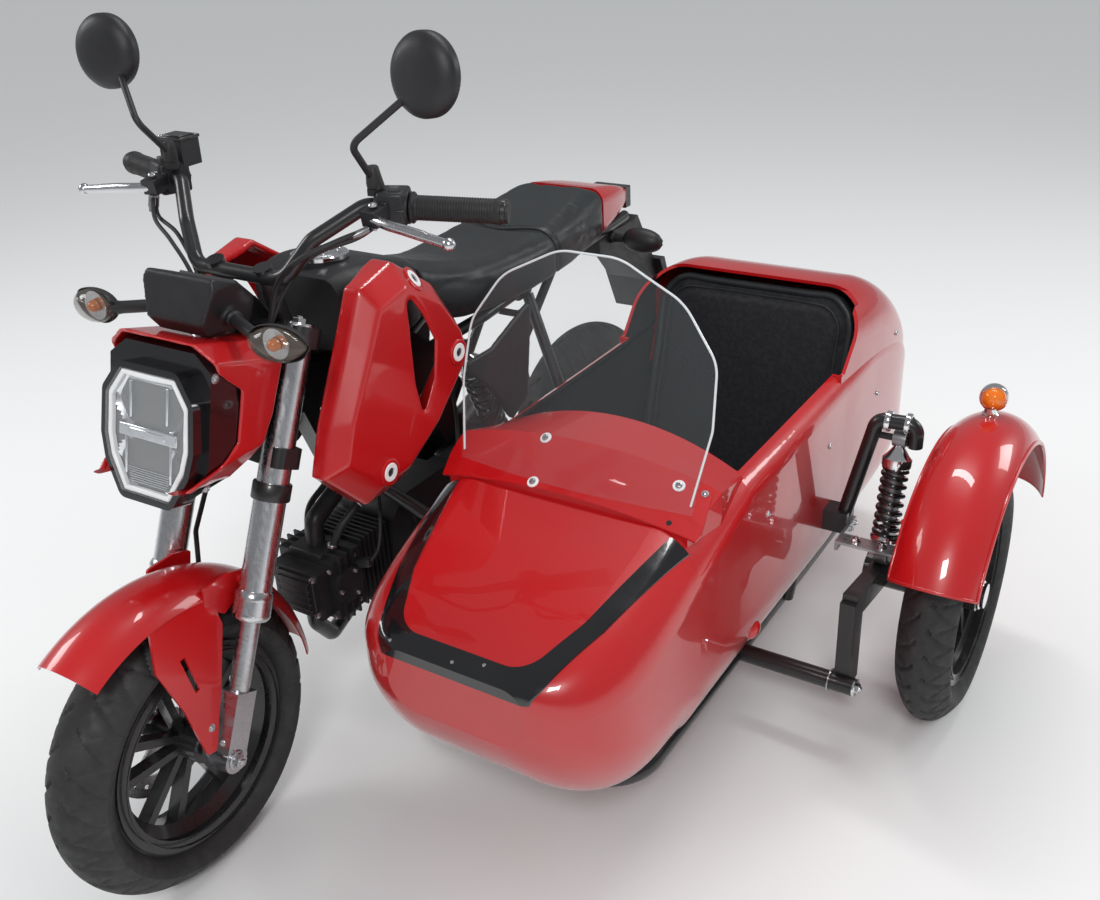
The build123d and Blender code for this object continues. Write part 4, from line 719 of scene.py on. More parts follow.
make("meter_face", meter_box((0, 0, 0), (96, 40, 3)), GLOSS_BLACK, "steering", bevel=1.2)
make("meter_display", meter_box((0, 0, 1.6), (70, 26, 1.2)), DISPLAY, "steering", bevel=0.5)
make("meter_bezel", [meter_box((0, 21, 0.5), (104, 3, 6)), meter_box((0, -21, 0.5), (104, 3, 6)),
                     meter_box((50.5, 0, 0.5), (3, 42, 6)), meter_box((-50.5, 0, 0.5), (3, 42, 6))],
     PLASTIC, "steering", bevel=1.2)


# Rider's seat and the sidecar's cushions: remeshed, inflated, then seamed

def solo(source, name, keep=None):
    """Welded copy of a node's mesh, or of the loose part of it that keep() picks by its middle."""
    data = source.data.copy()
    work = bmesh.new()
    work.from_mesh(data)
    bmesh.ops.remove_doubles(work, verts=work.verts, dist=0.00002)
    left = set(work.verts) if keep else set()
    drop = []
    while left:
        stack = [left.pop()]
        part = set(stack)
        while stack:
            for e in stack.pop().link_edges:
                for v in e.verts:
                    if v in left:
                        left.discard(v)
                        part.add(v)
                        stack.append(v)
        if not keep(bike(sum((v.co for v in part), Vector()) / len(part))):
            drop += list(part)
    bmesh.ops.delete(work, geom=drop, context="VERTS")
    work.to_mesh(data)
    work.free()
    data.name = name
    o = bpy.data.objects.new(name, data)
    bpy.context.scene.collection.objects.link(o)
    return o


def settled(o):
    """Applies the object's modifiers to its mesh."""
    bpy.context.view_layer.update()
    new = bpy.data.meshes.new_from_object(o.evaluated_get(bpy.context.evaluated_depsgraph_get()))
    o.modifiers.clear()
    old = o.data
    o.data = new
    new.name = old.name + "_done"


def change(o, kind, **values):
    """Gives the object a modifier with these values and applies it."""
    m = o.modifiers.new(kind.lower(), kind)
    for key, value in values.items():
        setattr(m, key, value)
    settled(o)


def padded_form(o, voxel, pressure, reach, low, high, shrink=3.5, frames=20):
    """Remesh, blow up a little as cloth, no further than reach, and keep inside the room from low to high."""
    change(o, "REMESH", mode="VOXEL", voxel_size=voxel * MM)
    change(o, "SMOOTH", factor=0.5, iterations=6)
    for v in o.data.vertices:
        v.co -= v.normal * shrink * MM
    start = [v.co.copy() for v in o.data.vertices]
    m = o.modifiers.new("cloth", "CLOTH")
    m.settings.quality = 4
    m.settings.use_pressure = True
    m.settings.uniform_pressure_force = pressure
    m.settings.effector_weights.gravity = 0.0
    m.point_cache.frame_start = 1
    m.point_cache.frame_end = frames
    for f in range(1, frames + 1):
        bpy.context.scene.frame_set(f)
    settled(o)
    bpy.context.scene.frame_set(1)
    for v, a in zip(o.data.vertices, start):
        move = v.co - a
        if move.length > reach * MM:
            v.co = a + move.normalized() * reach * MM
        for i in range(3):
            v.co[i] = min(max(v.co[i], low[i]), high[i])
    o.data.update()
    return o


def groove(o, depth, wide, line):
    """Presses a seam into the mesh where line(point) is near 0, in millimetres."""
    o.data.update()
    moves = [v.normal * (-depth * MM * math.exp(-(line(bike(v.co)) / wide) ** 2)) for v in o.data.vertices]
    for v, m in zip(o.data.vertices, moves):
        v.co += m


def finish_pad(o, mat, node):
    change(o, "SUBSURF", levels=1, render_levels=1)
    dress(o, mat, "frame", node)


def surface_line(o, rays, lift):
    """Points on a mesh's surface along rays, each (from, to) in bike mm."""
    tree = BVHTree.FromPolygons([v.co.copy() for v in o.data.vertices], [tuple(p.vertices) for p in o.data.polygons])
    line = []
    for a, b in rays:
        start, end = place(a), place(b)
        hit, normal, _, _ = tree.ray_cast(start, (end - start).normalized())
        if hit is None:
            hit, normal, _, _ = tree.find_nearest(start.lerp(end, 0.5))
        line.append(bike(hit) + normal * lift)
    return line


def moulded(node, mat, body, voxel, rounds, share, move=None):
    """Copy of a node with its ridges and edges rounded as moulded plastic, in the node's place."""
    o = solo(nodes[node], node + "_skin")
    change(o, "REMESH", mode="VOXEL", voxel_size=voxel * MM)
    change(o, "SMOOTH", factor=0.5, iterations=rounds)
    change(o, "DECIMATE", ratio=share)
    if move:
        for v in o.data.vertices:
            v.co = place(move(bike(v.co)))
    dress(o, mat, body, node)


def trimmed(p):
    """Raises the cowl's lower front lip to a clean line."""
    return Vector((p.x, p.y, max(p.z, 678 - 0.24 * p.y))) if p.y < 130 else p


moulded("tank_shrouds", RED_PLASTIC, "frame", 2.3, 16, 0.3)
moulded("headlamp_cowl", RED_PLASTIC, "steering", 2.0, 9, 0.3, trimmed)
moulded("side_panels", PLASTIC, "frame", 3.0, 8, 0.4)
moulded("meter", PLASTIC, "steering", 2.4, 5, 0.4)


# Rider's seat: a low front part and a raised rear part, with a piped seam between them

SEAM_Y, STITCH_Y = 905, 918


def seam_bend(x):
    return 0.0022 * x ** 2


def seat_fan(y, reach, count):
    """Rays out of the seat's middle to its skin, bent back at the sides as the seam is."""
    rays = []
    for k in range(count + 1):
        t = -reach + 2 * reach * k / count
        here = y + seam_bend(112 * math.sin(t))
        rays.append(((0, here, 735), (300 * math.sin(t), here, 735 + 300 * math.cos(t))))
    return rays


def skirt_line(p):
    """Height over the line where the seat's top cover meets its sides."""
    return p.z - (770 + 0.00008 * (p.y - 800) ** 2) if abs(p.x) > 60 else 99


seat_low, seat_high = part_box("seat")
rider = padded_form(solo(nodes["seat"], "riders_seat"), 6.5, 3.0, 7,
                    [a - 2 * MM for a in seat_low], [a + 2 * MM for a in seat_high])
groove(rider, 3.4, 6.0, lambda p: p.y - SEAM_Y - seam_bend(p.x))
groove(rider, 1.4, 4.5, skirt_line)
finish_pad(rider, VINYL, "seat")
make("riders_seat_piping", tube(surface_line(rider, seat_fan(SEAM_Y, 1.75, 44), 0.6), 1.9, 10, 3), BLACK)
strap = surface_line(rider, seat_fan(STITCH_Y, 1.6, 60), 0.25)
make("riders_seat_stitching", [tube([a.lerp(b, 0.15), a.lerp(b, 0.85)], 0.7, 6, smooth=False)
                               for a, b in zip(strap, strap[1:])], THREAD)


# Sidecar: cushion and back in black cloth, piped, with a padded roll round the back's top

BACK_LEFT, BACK_RIGHT, BACK_TOP, BACK_CORNER = 233, 643, 686, 80
FRONT_OF_BACK = [(270, 1000.5), (560, 1088), (684, 1124), (700, 1128)]  # (height, y)

cushion = padded_form(solo(nodes["sidecar_seat"], "sidecar_cushion", lambda p: p.y < 960), 6.0, 4.0, 14,
                      place((282, 684, 153.3)), place((594, 1000.6, 308)))
for x in (HULL_X - 50, HULL_X + 50):
    groove(cushion, 3.6, 6.0, lambda p, x=x: (p.x - x) if p.z > 250 and 712 < p.y < 985 else 99)
for y in (775, 860, 940):
    groove(cushion, 2.4, 5.5, lambda p, y=y: (p.y - y) if p.z > 250 and abs(p.x - HULL_X) < 118 else 99)
back_pad = padded_form(solo(nodes["sidecar_seat"], "sidecar_seat_back", lambda p: p.y > 960), 6.0, 4.0, 9,
                       place((BACK_LEFT, 1001.2, 270)), place((BACK_RIGHT, 1152, 688)))


def back_roll(p):
    """Distance inside the back's outline, whose top corners are round."""
    left, right_side = p.x - BACK_LEFT, BACK_RIGHT - p.x
    if p.z > BACK_TOP - BACK_CORNER and min(left, right_side) < BACK_CORNER:
        cx = BACK_LEFT + BACK_CORNER if left < BACK_CORNER else BACK_RIGHT - BACK_CORNER
        return BACK_CORNER - math.hypot(p.x - cx, p.z - BACK_TOP + BACK_CORNER)
    return min(left, right_side, BACK_TOP - p.z)


groove(back_pad, 4.0, 6.5, lambda p: (back_roll(p) - 34) if p.y < 1130 and p.z > 300 else 99)
finish_pad(cushion, CLOTH, "sidecar_seat")
finish_pad(back_pad, CLOTH, "sidecar_seat")


def back_front(z):
    """Front face of the back at a height."""
    for (z0, y0), (z1, y1) in zip(FRONT_OF_BACK, FRONT_OF_BACK[1:]):
        if z <= z1:
            return y0 + (y1 - y0) * (z - z0) / (z1 - z0)
    return FRONT_OF_BACK[-1][1]


def back_edge(inset):
    """Rays at the back's front face along its sides and top, inset from its edge."""
    r = BACK_CORNER - inset
    arc = [(r * math.sin(math.pi / 2 * k / 8), r * math.cos(math.pi / 2 * k / 8)) for k in range(9)]
    side, top = BACK_LEFT + BACK_CORNER, BACK_TOP - BACK_CORNER
    line = [(BACK_LEFT + inset, z) for z in range(320, 600, 20)]
    line += [(side - b, top + a) for a, b in arc]
    line += [(x, BACK_TOP - inset) for x in range(340, 545, 25)]
    line += [(BACK_RIGHT - BACK_CORNER + a, top + b) for a, b in arc]
    line += [(BACK_RIGHT - inset, z) for z in range(580, 310, -20)]
    return [((x, back_front(z) - 60, z), (x, back_front(z) + 60, z)) for x, z in line]


make("seat_back_piping", tube(surface_line(back_pad, back_edge(33), 0.4), 2.2, 10, 2), VINYL)
make("seat_back_rim", tube(surface_line(back_pad, back_edge(9), 0.2), 7.5, 14, 2), VINYL)
make("cushion_piping", tube(surface_line(cushion, [((x, 640, 268), (x, 760, 268)) for x in range(306, 572, 12)], 0.4),
                            2.4, 10, 2), VINYL)


# Black cloth lining inside the cockpit, on the hull's inner skin

def lining():
    mesh = nodes["sidecar_body"].data
    points, faces, index = [], [], {}
    for p in mesh.polygons:
        mid = bike(p.center)
        aside = abs(mid.x - HULL_X)
        inner = Vector((HULL_X - mid.x, 0, 360 - mid.z))
        if not 430 < mid.y < 1128 or p.normal.dot(inner) <= 0.02 * inner.length:
            continue
        if aside > 227 or mid.z > 690:
            continue
        for i in p.vertices:
            if i not in index:
                index[i] = len(points)
                points.append(bike(mesh.vertices[i].co) + p.normal * 1.1)
        faces.append(tuple(index[i] for i in p.vertices))
    return points, faces


make("cockpit_lining", lining(), CLOTH)


# Sidecar screen: its polished edge as a pale tube, whose pale colour is a painted highlight

BEND = 1000  # the screen's radius
LEAN = math.radians(16)


def screen_point(x, z):
    """Point of the bent screen's middle surface at a place across and up."""
    up_way = Vector((0, math.sin(LEAN), math.cos(LEAN)))
    out_way = Vector((0, -math.cos(LEAN), math.sin(LEAN)))
    centre = Vector((HULL_X, 430 + BEND * math.cos(LEAN), 620 - BEND * math.sin(LEAN)))
    reach = math.sqrt(BEND ** 2 - x * x) - 1.5
    s = (z - centre.z - out_way.z * reach) / up_way.z
    return centre + Vector((x, 0, 0)) + out_way * reach + up_way * s


def rounded(corners, steps=8):
    """Open line through corners, each (x, z, radius) and cut to its radius."""
    line = [Vector((*corners[0][:2], 0))]
    for before, (x, z, r), after in zip(corners, corners[1:], corners[2:]):
        a, b, c = Vector((*before[:2], 0)), Vector((x, z, 0)), Vector((*after[:2], 0))
        u, v = (a - b).normalized(), (c - b).normalized()
        angle = u.angle(v)
        start, end = b + u * (r / math.tan(angle / 2)), b + v * (r / math.tan(angle / 2))
        mid = b + (u + v).normalized() * r / math.sin(angle / 2)
        line += [mid + (start - mid).lerp(end - mid, k / steps).normalized() * r for k in range(steps + 1)]
    return line + [Vector((*corners[-1][:2], 0))]


half_screen = [(196, 585, 0), (212, 690, 60), (206, 780, 60), (150, 856, 90), (50, 905, 90)]
screen_line = rounded(half_screen + [(-x, z, r) for x, z, r in reversed(half_screen)])
edge = []
for p, q in zip(screen_line, screen_line[1:]):
    pieces = max(1, int((q - p).length / 18))
    edge += [p + (q - p) * k / pieces for k in range(pieces)]
make("screen_edge_painted_highlight", tube([screen_point(p.x, p.y) for p in edge + screen_line[-1:]], 1.75, 10, smooth=False), SCREEN_EDGE_HIGHLIGHT)


# Fixings seen on the cowl sheet, the hull and its nose

cowl_spots = spots([(546, 438), (533, 482), (679, 486)], "cowl_sheet")
make("cowl_washers", [washer(p - n * 0.3, n, 9.2, 3.5, 2.2) for p, n in cowl_spots], WHITE)
make("cowl_bolts", [bolt(p + n * 1.4, n, 5.4, 3.8) for p, n in cowl_spots], STEEL)
make("cowl_small_bolts", [screw(p, n, 5.6, 2.2, 1.4, 3.6, 3.4, 0.3, 0.6)
                          for p, n in spots([(705, 494)], "cowl_sheet sidecar_body")], STEEL)
# The cowl sheet's hole, drawn as a black disc: its black is painted shade of the hole's inside
make("cowl_hole_shade", [lathe(p - n * 1.0, n, [(0, 4.2), (1.25, 4.2), (1.3, 0)], 20)
                   for p, n in spots([(669, 523)], "cowl_sheet")], BLACK)
hull_spots = spots([(768, 514), (830, 446), (877, 393), (896, 333)], "sidecar_body")
hull_tree = tree_of("sidecar_body")
far_spots = [hull_tree.find_nearest(place((2 * HULL_X - p.x, p.y, p.z))) for p, n in hull_spots]
make("body_bolts", [screw(p, n, 6.2, 3, 1.4, 4.4, 3.0) for p, n in hull_spots], STEEL)
make("far_body_bolts", [screw(bike(p), n, 6.2, 3, 1.4, 4.4, 3.0) for p, n, _, _ in far_spots], STEEL)
make("body_boss", [lathe(p - n * 4, n, [(0, 18), (4, 17.5), (9, 14), (12, 8), (13, 0)], 32)
                   for p, n in spots([(754, 630)], "sidecar_body")], RED)
make("trim_rivets", [bolt(p - n * 0.4, n, 2.6, 1.6, drive=False)
                     for p, n in spots([(452, 662), (484, 665), (390, 640)], "deck_trim")], STEEL)


# Shock absorbers: coil springs over a damper, bright spring seats

def coil(low, high, radius, wire, rounds):
    _, u, v = across(high - low)
    steps = int(rounds * 26)
    line = []
    for k in range(steps + 1):
        t = k / steps
        a = TAU * rounds * t
        squeeze = 0.5 - 0.5 * math.cos(math.pi * t)
        line.append(low + (high - low) * (0.75 * t + 0.25 * squeeze) + (u * math.cos(a) + v * math.sin(a)) * radius)
    return tube(line, wire, 10, smooth=False)


def shock(name, low, high, half, eye, r, node):
    low, high = Vector(low), Vector(high)
    way, length, side = (high - low).normalized(), (high - low).length, Vector((1, 0, 0))

    def part(count, *profile):
        """Turned piece about the damper: (share of its length, radius)."""
        return lathe(low, way, [(length * s, radius) for s, radius in profile], count)

    make(name + "_damper", [part(24, (eye * 0.8 / length, 7), (0.34, 7)),
                            part(32, (0.3, 14), (0.34, 15.5), (0.72, 15.5), (0.75, 14))], GREY, replaces=(node,))
    make(name + "_seats", [
        part(40, (0.13, 9), (0.14, r), (0.17, r + 1), (0.19, r - 2), (0.19, 8)),
        part(40, (0.76, 8), (0.76, r - 1), (0.78, r + 1.2), (0.84, r + 1.2), (0.87, r - 5), (0.93, 10), (0.95, 8))],
         POLISHED)
    make(name + "_eyes", [washer(p - side * half, side, eye, hole, 2 * half) for p, hole in ((low, 6), (high, 6.3))],
         GREY)
    make(name + "_spring", coil(low + way * length * 0.19, low + way * length * 0.765, r - 4.2, 4.0, 8.5), GLOSS_BLACK,
         angle=60)
    long = 2 * half + 1.2
    make(name + "_bushes", [lathe(p - side * (half + 0.6), side, [(0, 9.5), (0, 10.4), (long, 10.4), (long, 9.5)], 24,
                                  closed=True) for p in (low, high)], RUBBER)


SHOCK_LOW, SHOCK_TOP = (782, 900, 292.1), (782, 947, 500)
shock("sidecar_shock", SHOCK_LOW, SHOCK_TOP, 11, 14, 24, "wheel_shock")
shock("rear_shock_unit", (0, 878.5, 344.3), (0, 762, 602), 12, 14, 26, "rear_shock")


# Sidecar wheel side: tie bolts, pivot cap, lamp, rolled mudguard edges

ARM_Y, ARM_Z = 730, 130.7
OUT, IN, UP = (1, 0, 0), (-1, 0, 0), (0, 0, 1)
make("tie_bolts", [join(washer((x, 866, 330), UP, 9, 4, 1.8), hex_nut((x, 866, 331.8), UP, 7, 5)) for x in (745, 790)],
     POLISHED)
make("stub_bolts", [hex_nut((718.2, y, 321), OUT, 5, 3.4) for y in (916, 940)], STEEL)
make("arm_pivot_cap", [lathe((804, ARM_Y, ARM_Z), OUT, [(-1, 16.4), (2.2, 16.4), (3.4, 15), (3.4, 0)], 36),
                       hex_nut((807.2, ARM_Y, ARM_Z), OUT, 9, 6)], POLISHED)
make("arm_pivot_ring", washer((763, ARM_Y, ARM_Z), IN, 21, 16.4, 3), STEEL)
make("shock_bolts", [hex_nut((x, *SHOCK_TOP[1:]), d, 8, 6) for x, d in ((807, OUT), (736, IN))]
     + [hex_nut((x, *SHOCK_LOW[1:]), d, 8, 6) for x, d in ((795, OUT), (769, IN))]
     + [lathe((768, *SHOCK_LOW[1:]), OUT, [(0, 5), (0.8, 5.8), (27.2, 5.8), (28, 5)], 32)], STEEL)
make("arch_saddles", [washer((x, y, 531), OUT, 18, 13.3, 9) for x, y in ((757, 941.5), (790, 946))], POLISHED)

GUARD_R, GUARD_BULGE = 240.3, 77.68
LAMP_BASE = Vector((910, 1012, 236 + math.sqrt(318 ** 2 - 55 ** 2) + 31.7))
LAMP_WAY = Vector((math.cos(math.radians(78)), -math.sin(math.radians(78)), 0))
make("guard_lamp_cup", lathe(LAMP_BASE, LAMP_WAY, [(-6, 0), (-6, 9), (-4, 15), (-1, 19.6), (4, 22.8), (14, 23.2),
                                                   (16.2, 22.6), (17, 20.6), (16, 19.4)], 48), POLISHED)
make("guard_lamp_foot", lathe(LAMP_BASE - Vector((0, 12, 30)), UP, [(0, 13.5), (2, 13.5), (4, 10.6), (12, 9.8)], 32),
     POLISHED)
make("guard_lamp_ribs", [lathe(LAMP_BASE, LAMP_WAY, [(s, r), (s + 0.8, r + 0.7), (s + 1.6, r - 0.2)], 40, closed=True)
                         for s, r in ((18.4, 17.3), (21.2, 15.8), (24.0, 13.6), (26.4, 10.4))], AMBER)


def guard_point(x, turn, sink):
    """Point of the mudguard's skin, at x from its middle, turned up from the rear."""
    a = math.radians(turn)
    r = GUARD_R + math.sqrt(GUARD_BULGE ** 2 - x * x) - sink
    return Vector((915 + x, SIDE_WHEEL[1] + r * math.cos(a), SIDE_WHEEL[2] + r * math.sin(a)))


bead = [guard_point(-67.4, t, -0.5) for t in range(16, 150, 3)]
bead += [guard_point(x, 149.4, 1.5) for x in range(-66, 68, 6)]
bead += [guard_point(67.4, t, -0.5) for t in range(149, 15, -3)]
bead += [guard_point(x, 15.6, 1.5) for x in range(66, -68, -6)]
make("guard_edges", tube(bead + bead[:1], 2.4, 10, smooth=False), RED, angle=60)


# Motorcycle details: engine covers and bolts, plug lead, hoses, exhaust shield, pegs, plate

LEFT_COVER, RIGHT_COVER = (104, 524, 300), (-108, 545, 305)
LEFT_CAP, RIGHT_CAP = (92, 612, 330), (-96, 638, 345)
make("engine_bolts", bolt_circle(*LEFT_COVER, 61, turns(6, 0.3), 4.6, 5)
     + bolt_circle(*LEFT_CAP, 33, (0.4, 2.5, 4.6), 4.0, 4.4)
     + bolt_circle(*RIGHT_COVER, 67, turns(7, 0.2), 4.6, 5)
     + bolt_circle(*RIGHT_CAP, 31, (0.2, 2.3, 4.4), 4.0, 4.4)
     + [bolt((x, 270, z), (0, -1, 0), 5.4, 6) for x in (-40, 40) for z in (308, 376)]
     + bolt_circle(70, 325, 345, 25, (0.5, 2.6, 4.7), 4.2, 5)
     + [bolt((60, y, z), OUT, 4.4, 5) for z in (300, 388) for y in (288, 348)], STEEL)


def cover(at, d, r, middle):
    """Stepped round cover with a raised middle."""
    return lathe(at, d, [(-6, r), (-1, r), (2, r - 4.5), (2, r - 18.5), (0.8, r - 20.5), (0.8, middle),
                         (3, middle - 2), (3, 0)], 56)


make("cover_rings", [cover(LEFT_COVER, OUT, 70.5, 22), cover(RIGHT_COVER, IN, 76.5, 26),
                     lathe(LEFT_CAP, OUT, [(0, 27), (1.5, 25), (1.5, 12), (3, 10), (3, 0)], 40),
                     lathe(RIGHT_CAP, IN, [(0, 26), (1.5, 24), (1.5, 10), (3, 9), (3, 0)], 40)], ENGINE, angle=40)
make("head_cover", [box(at, size) for at, size in (
    ((0, 268, 342), (84, 7, 72)), ((0, 264, 342), (60, 4, 50)), ((0, 318, 401), (70, 40, 8)),
    ((0, 318, 283), (54, 34, 6)))] + [box((0, 264, 342 + dz), (70, 6, 3)) for dz in (-26, -13, 0, 13, 26)],
     ENGINE, bevel=1.6)
make("plug_cap", [lathe((66, 352, 372), (1, 0.2, 0.25), [(-6, 7), (6, 9), (20, 9.4), (26, 7.5)], 24),
                  tube([(88, 357, 378), (98, 372, 402), (86, 398, 448), (60, 430, 500), (36, 470, 560)], 3.4, 12)],
     RUBBER, angle=50)
make("hoses", [tube(line, r, count) for r, count, line in (
    (7.0, 16, [(34, 330, 404), (46, 344, 440), (56, 380, 470), (44, 420, 500), (26, 450, 560)]),
    (5.5, 14, [(-36, 344, 404), (-50, 372, 440), (-46, 420, 470), (-36, 452, 520)]),
    (4.2, 12, [(72, 500, 372), (84, 482, 410), (76, 450, 450), (52, 430, 520), (36, 436, 600)]),
    (3.6, 12, [(96, 540, 366), (104, 566, 392), (92, 604, 440), (72, 640, 500), (58, 652, 590)]),
    (4.2, 12, [(-92, 520, 378), (-100, 548, 410), (-86, 600, 450), (-66, 640, 520), (-52, 650, 590)]))],
     RUBBER, angle=50)
make("hose_clips", [lathe(p, d, [(-3, 8.6), (-2, 9.4), (2, 9.4), (3, 8.6)], 24) for p, d in (
    ((34, 330.5, 408), (0.1, 0.2, 1)), ((56, 380, 470), (0.1, 0.9, 0.5)))], STEEL)

MUFFLER_FROM, MUFFLER_TO = Vector((-168, 806, 247)), Vector((-182, 1180, 352))


def shield(count=17):
    """Heat shield: a strip bent round the muffler's outer side."""
    out, up_way = Vector((-1, -0.03, 0)).normalized(), Vector((0, -0.27, 0.96)).normalized()
    points, faces = [], []
    shares = (0.10, 0.13, 0.5, 0.87, 0.90)
    for s in shares:
        for r in (45.2, 48.2):
            for k in range(count):
                a = math.radians(-52 + 104 * k / (count - 1))
                points.append(MUFFLER_FROM.lerp(MUFFLER_TO, s) + (out * math.cos(a) + up_way * math.sin(a)) * r)
    for i in range(len(shares) - 1):
        for r in (0, 1):
            for k in range(count - 1):
                base = (i * 2 + r) * count + k
                faces.append((base, base + 1, base + 1 + 2 * count, base + 2 * count))
        for e in (0, count - 1):
            base = i * 2 * count + e
            faces.append((base, base + count, base + 3 * count, base + 2 * count))
    for i in (0, len(shares) - 1):
        for k in range(count - 1):
            base = i * 2 * count + k
            faces.append((base, base + count, base + count + 1, base + 1))
    return points, faces


make("exhaust_shield", shield(), GREY, angle=40)
OUTLET = [(-8, 44.6), (1, 44.6), (5, 40), (5, 20), (9, 18), (9, 13), (-14, 12.5), (-14, 0)]
make("muffler_end", [lathe(MUFFLER_TO, (-0.036, 0.962, 0.27), OUTLET, 48),
                     lathe(MUFFLER_FROM, (0.036, -0.962, -0.27), [(-8, 44.6), (0, 44.6), (8, 38), (14, 31)], 48)],
     BLACK)
make("peg_rubbers", [box((s * (124 + 9.4 * k), 742, 265.4 + 0.43 * k), (6.4, 25, 25)) for s in SIDES for k in range(8)],
     RUBBER, bevel=2.0)
make("number_plate", box((0, 1469.5, 528), (152, 3, 104), Matrix.Rotation(math.radians(21.8), 3, "X")), WHITE,
     bevel=1.0)
make("tail_lamp_rim", [box((0, 1341, z), (84, 22, 3)) for z in (769.5, 726.5)]
     + [box((x, 1341, 748), (3, 22, 44)) for x in (41.2, -41.2)], BLACK, bevel=1.0)


def on_legs(z, profile, count=40):
    """Turned piece on both fork legs, at a height."""
    return [lathe((s * LEG_X, (z - 236) * math.tan(RAKE), z), STEER_DIR, profile, count) for s in SIDES]


make("fork_seals", on_legs(432, [(-3, 16), (-3, 25), (0, 27.4), (3, 28.4), (6, 28.4), (8, 26)])
     + on_legs(458, [(0, 28.2), (3, 28.6), (8, 27.6), (13, 24.6)]), FORK, "steering")
make("fork_band", on_legs(604, [(-13, 24.3), (-13, 27.6), (-11, 28.8), (11, 28.8), (13, 27.6), (13, 24.3)]), BLACK,
     "steering")
make("fork_caps", on_legs(826, [(-2, 23), (1, 23), (3, 21), (3, 0)], 36)
     + [hex_nut((s * LEG_X, (828 - 236) * math.tan(RAKE) + 1, 828), STEER_DIR, 11, 7) for s in SIDES], POLISHED,
     "steering")
make("mudguard_bolts", [screw(p, n, 6, 2.5, 1.4, 4.4, 3) for p, n in
                        spots([(212, 728), (222, 743)], "front_mudguard fork_legs_and_axle")], STEEL, "steering", False)
make("caliper_bolts", [bolt((-70.3, y, z), IN, 6, 6) for y, z in ((70, 222), (108, 286), (84, 306))], STEEL, "steering")
make("rear_axle_nuts", axle_nuts(124, 1200, 243), STEEL)
make("valves", tube([(0, 152, 236), (9, 138, 236)], [3, 3.2], 10, smooth=False), RUBBER, "front_wheel")


# Drive chain: plates and rollers round both sprockets

SPROCKET = (704.0, 332.0, 31.5)
WHEEL_SPROCKET = (1200.0, 243.0, 75.5)


def chain_line():
    y0, z0, r0 = SPROCKET
    y1, z1, r1 = WHEEL_SPROCKET
    base = math.atan2(z1 - z0, y1 - y0)
    lean = math.asin((r1 - r0) / math.hypot(y1 - y0, z1 - z0))
    upper, lower = base + math.pi / 2 + lean, base - math.pi / 2 - lean
    pts = []
    for y, z, r, start, end, steps in ((y0, z0, r0, upper, lower + TAU, 24), (y1, z1, r1, lower, upper, 40)):
        for k in range(steps + 1):
            a = start + (end - start) * k / steps
            pts.append(Vector((78, y + r * math.cos(a), z + r * math.sin(a))))
    return pts + pts[:1]


def along(points, gap):
    """Places at even steps, as near to gap as fits, round a closed line."""
    total = sum((b - a).length for a, b in zip(points, points[1:]))
    count = int(total / gap)
    out, need, done = [], 0.0, 0.0
    for a, b in zip(points, points[1:]):
        long = (b - a).length
        while need <= done + long + 1e-9 and len(out) < count:
            out.append(a + (b - a) * ((need - done) / max(long, 1e-9)))
            need += total / count
        done += long
    return out


def plate(outline, x, thick):
    """Flat plate of a chain link."""
    m = len(outline)
    points = [p + Vector((across_x, 0, 0)) for across_x in (x, x + thick) for p in outline]
    return points, ([tuple(range(m)), tuple(reversed(range(m, 2 * m)))]
                    + [(i, m + i, m + (i + 1) % m, (i + 1) % m) for i in range(m)])


ROLLER = [(0, 0), (0, 2.4), (3.4, 2.4), (3.4, 3.9), (11.8, 3.9), (11.8, 2.4), (15.2, 2.4), (15.2, 0)]
pins = along(chain_line(), 12.7)
links = []
for k, a in enumerate(pins):
    b = pins[(k + 1) % len(pins)]
    d = (b - a).normalized()
    n = Vector((0, -d.z, d.y))
    outline = []
    for mid, s in ((b, 1), (a, -1)):
        for j in range(7):
            t = -math.pi / 2 + math.pi * j / 6
            outline.append(mid + (d * math.cos(t) + n * math.sin(t)) * s * 5.2)
    wide = 6.4 if k % 2 else 4.2
    links += [plate(outline, -wide - 1.4, 1.4), plate(outline, wide, 1.4)]
    links.append(lathe(a - Vector((7.6, 0, 0)), OUT, ROLLER, 8))
make("chain_links", links, GREY, angle=40, replaces=("drive_chain",))


# Wheels: a bright line round each rim's lips, and the hub cap's ring

RIM_LIP = [(-1, 152.6), (0.4, 154.4), (2.2, 154.4), (3.0, 152.8)]
for group, (x, y, z), half, body in (("front", FRONT_WHEEL, 46, "front_wheel"), ("rear", REAR_WHEEL, 51, "rear_wheel"),
                                     ("side", SIDE_WHEEL, 34, "sidecar_wheel")):
    make(group + "_rim_line", [lathe((x + s * half, y, z), (s, 0, 0), RIM_LIP, 96, closed=True) for s in SIDES],
         RIM_EDGE, body)
make("hub_cap_rings", lathe((945, 945, 236), OUT, [(0, 26), (3, 26), (4, 24)], 48), POLISHED, "sidecar_wheel")


# Camera at the photograph's viewpoint

lens = bpy.data.cameras.new("camera")
lens.sensor_width = 36.0
lens.lens = 37.30
lens.clip_start = 0.05
camera = bpy.data.objects.new("camera", lens)
bpy.context.scene.collection.objects.link(camera)
camera.matrix_world = Matrix.Translation(EYE) @ Matrix((right_rolled, up_rolled, back)).transposed().to_4x4()
bpy.context.scene.camera = camera


# Studio: pale floor and soft lamps

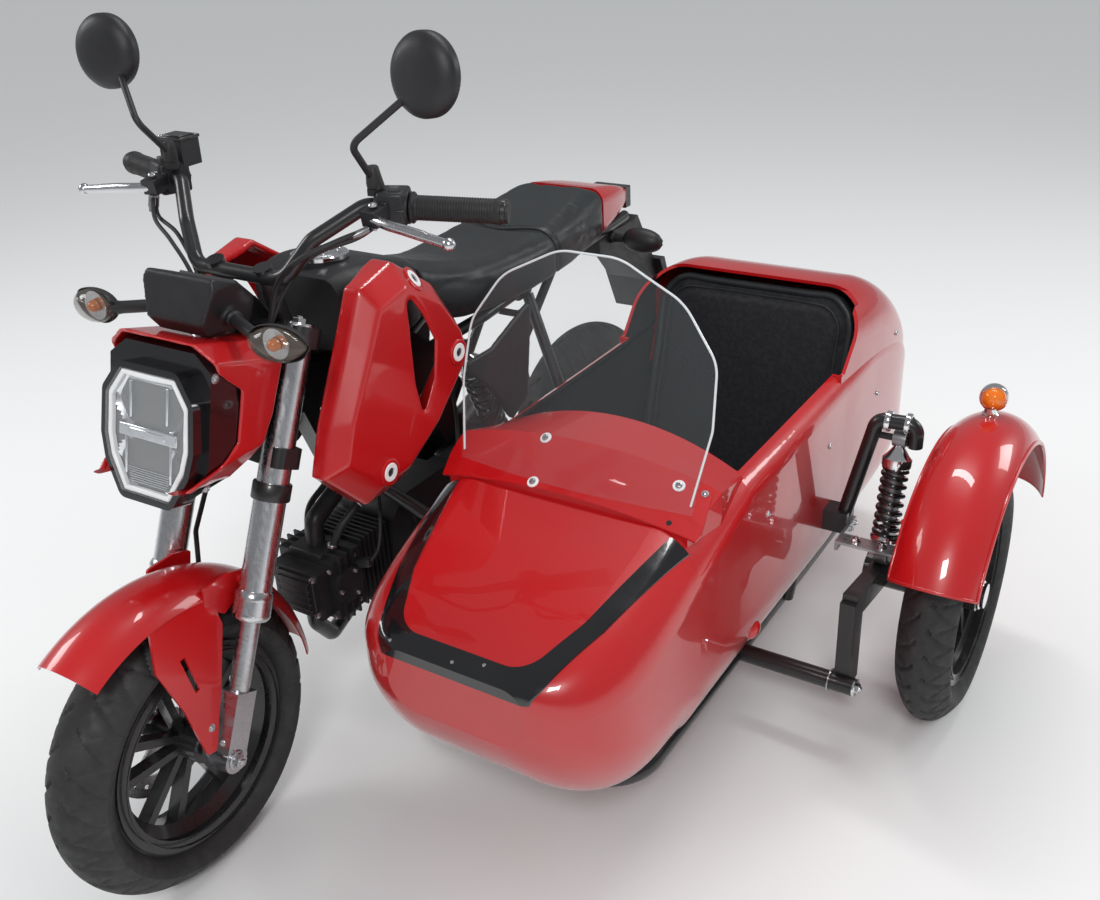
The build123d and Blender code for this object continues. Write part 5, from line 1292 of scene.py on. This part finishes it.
floor_mesh = bpy.data.meshes.new("floor")
floor_mesh.from_pydata([(-30, -30, 0), (30, -30, 0), (30, 30, 0), (-30, 30, 0)], [], [(0, 1, 2, 3)])
floor = bpy.data.objects.new("floor", floor_mesh)
bpy.context.scene.collection.objects.link(floor)
floor_mesh.materials.append(surface("floor", (0.80, 0.80, 0.79), (0.60, 0.60, 1)))

for name, at, aim, size, watts in (
    ("key", (1.8, -3.2, 3.4), (0, 0, 0.4), (0.9, 0.9), 74),
    ("fill", (-3.4, -1.2, 2.6), (0, 0, 0.5), (1.2, 1.2), 34),
    ("top", (0.2, 1.0, 3.8), (0, 0, 0.3), (2.6, 0.35), 46),
    ("rim", (2.6, 3.0, 2.2), (0, 0, 0.5), (1.2, 1.2), 28),
):
    data = bpy.data.lights.new(name, "AREA")
    data.shape = "RECTANGLE"
    data.size, data.size_y = size
    data.energy = watts
    o = bpy.data.objects.new(name, data)
    bpy.context.scene.collection.objects.link(o)
    o.location = at
    o.rotation_mode = "QUATERNION"
    o.rotation_quaternion = (Vector(aim) - Vector(at)).to_track_quat("-Z", "Y")

# The sky: soft light on matte surfaces, dimmer in reflections, and a pale grey wall for the camera
world = bpy.data.worlds.new("world")
bpy.context.scene.world = world
world.use_nodes = True
sky_nodes, sky_links = world.node_tree.nodes, world.node_tree.links


def glow(color, strength):
    n = sky_nodes.new("ShaderNodeBackground")
    n.inputs["Color"].default_value = (*color, 1)
    n.inputs["Strength"].default_value = strength
    return n


def blend(factor, a, b):
    mix = sky_nodes.new("ShaderNodeMixShader")
    for socket, source in zip(mix.inputs, (factor, a.outputs[0], b.outputs[0])):
        sky_links.new(source, socket)
    return mix


SKY = (0.80, 0.82, 0.85)
path = sky_nodes.new("ShaderNodeLightPath")
lit = blend(path.outputs["Is Glossy Ray"], glow(SKY, 0.80), glow(SKY, 0.30))
shown = blend(path.outputs["Is Camera Ray"], lit, glow((0.86, 0.86, 0.86), 1.0))
sky_links.new(shown.outputs[0], sky_nodes["World Output"].inputs["Surface"])

bpy.context.scene.view_settings.view_transform = "Standard"
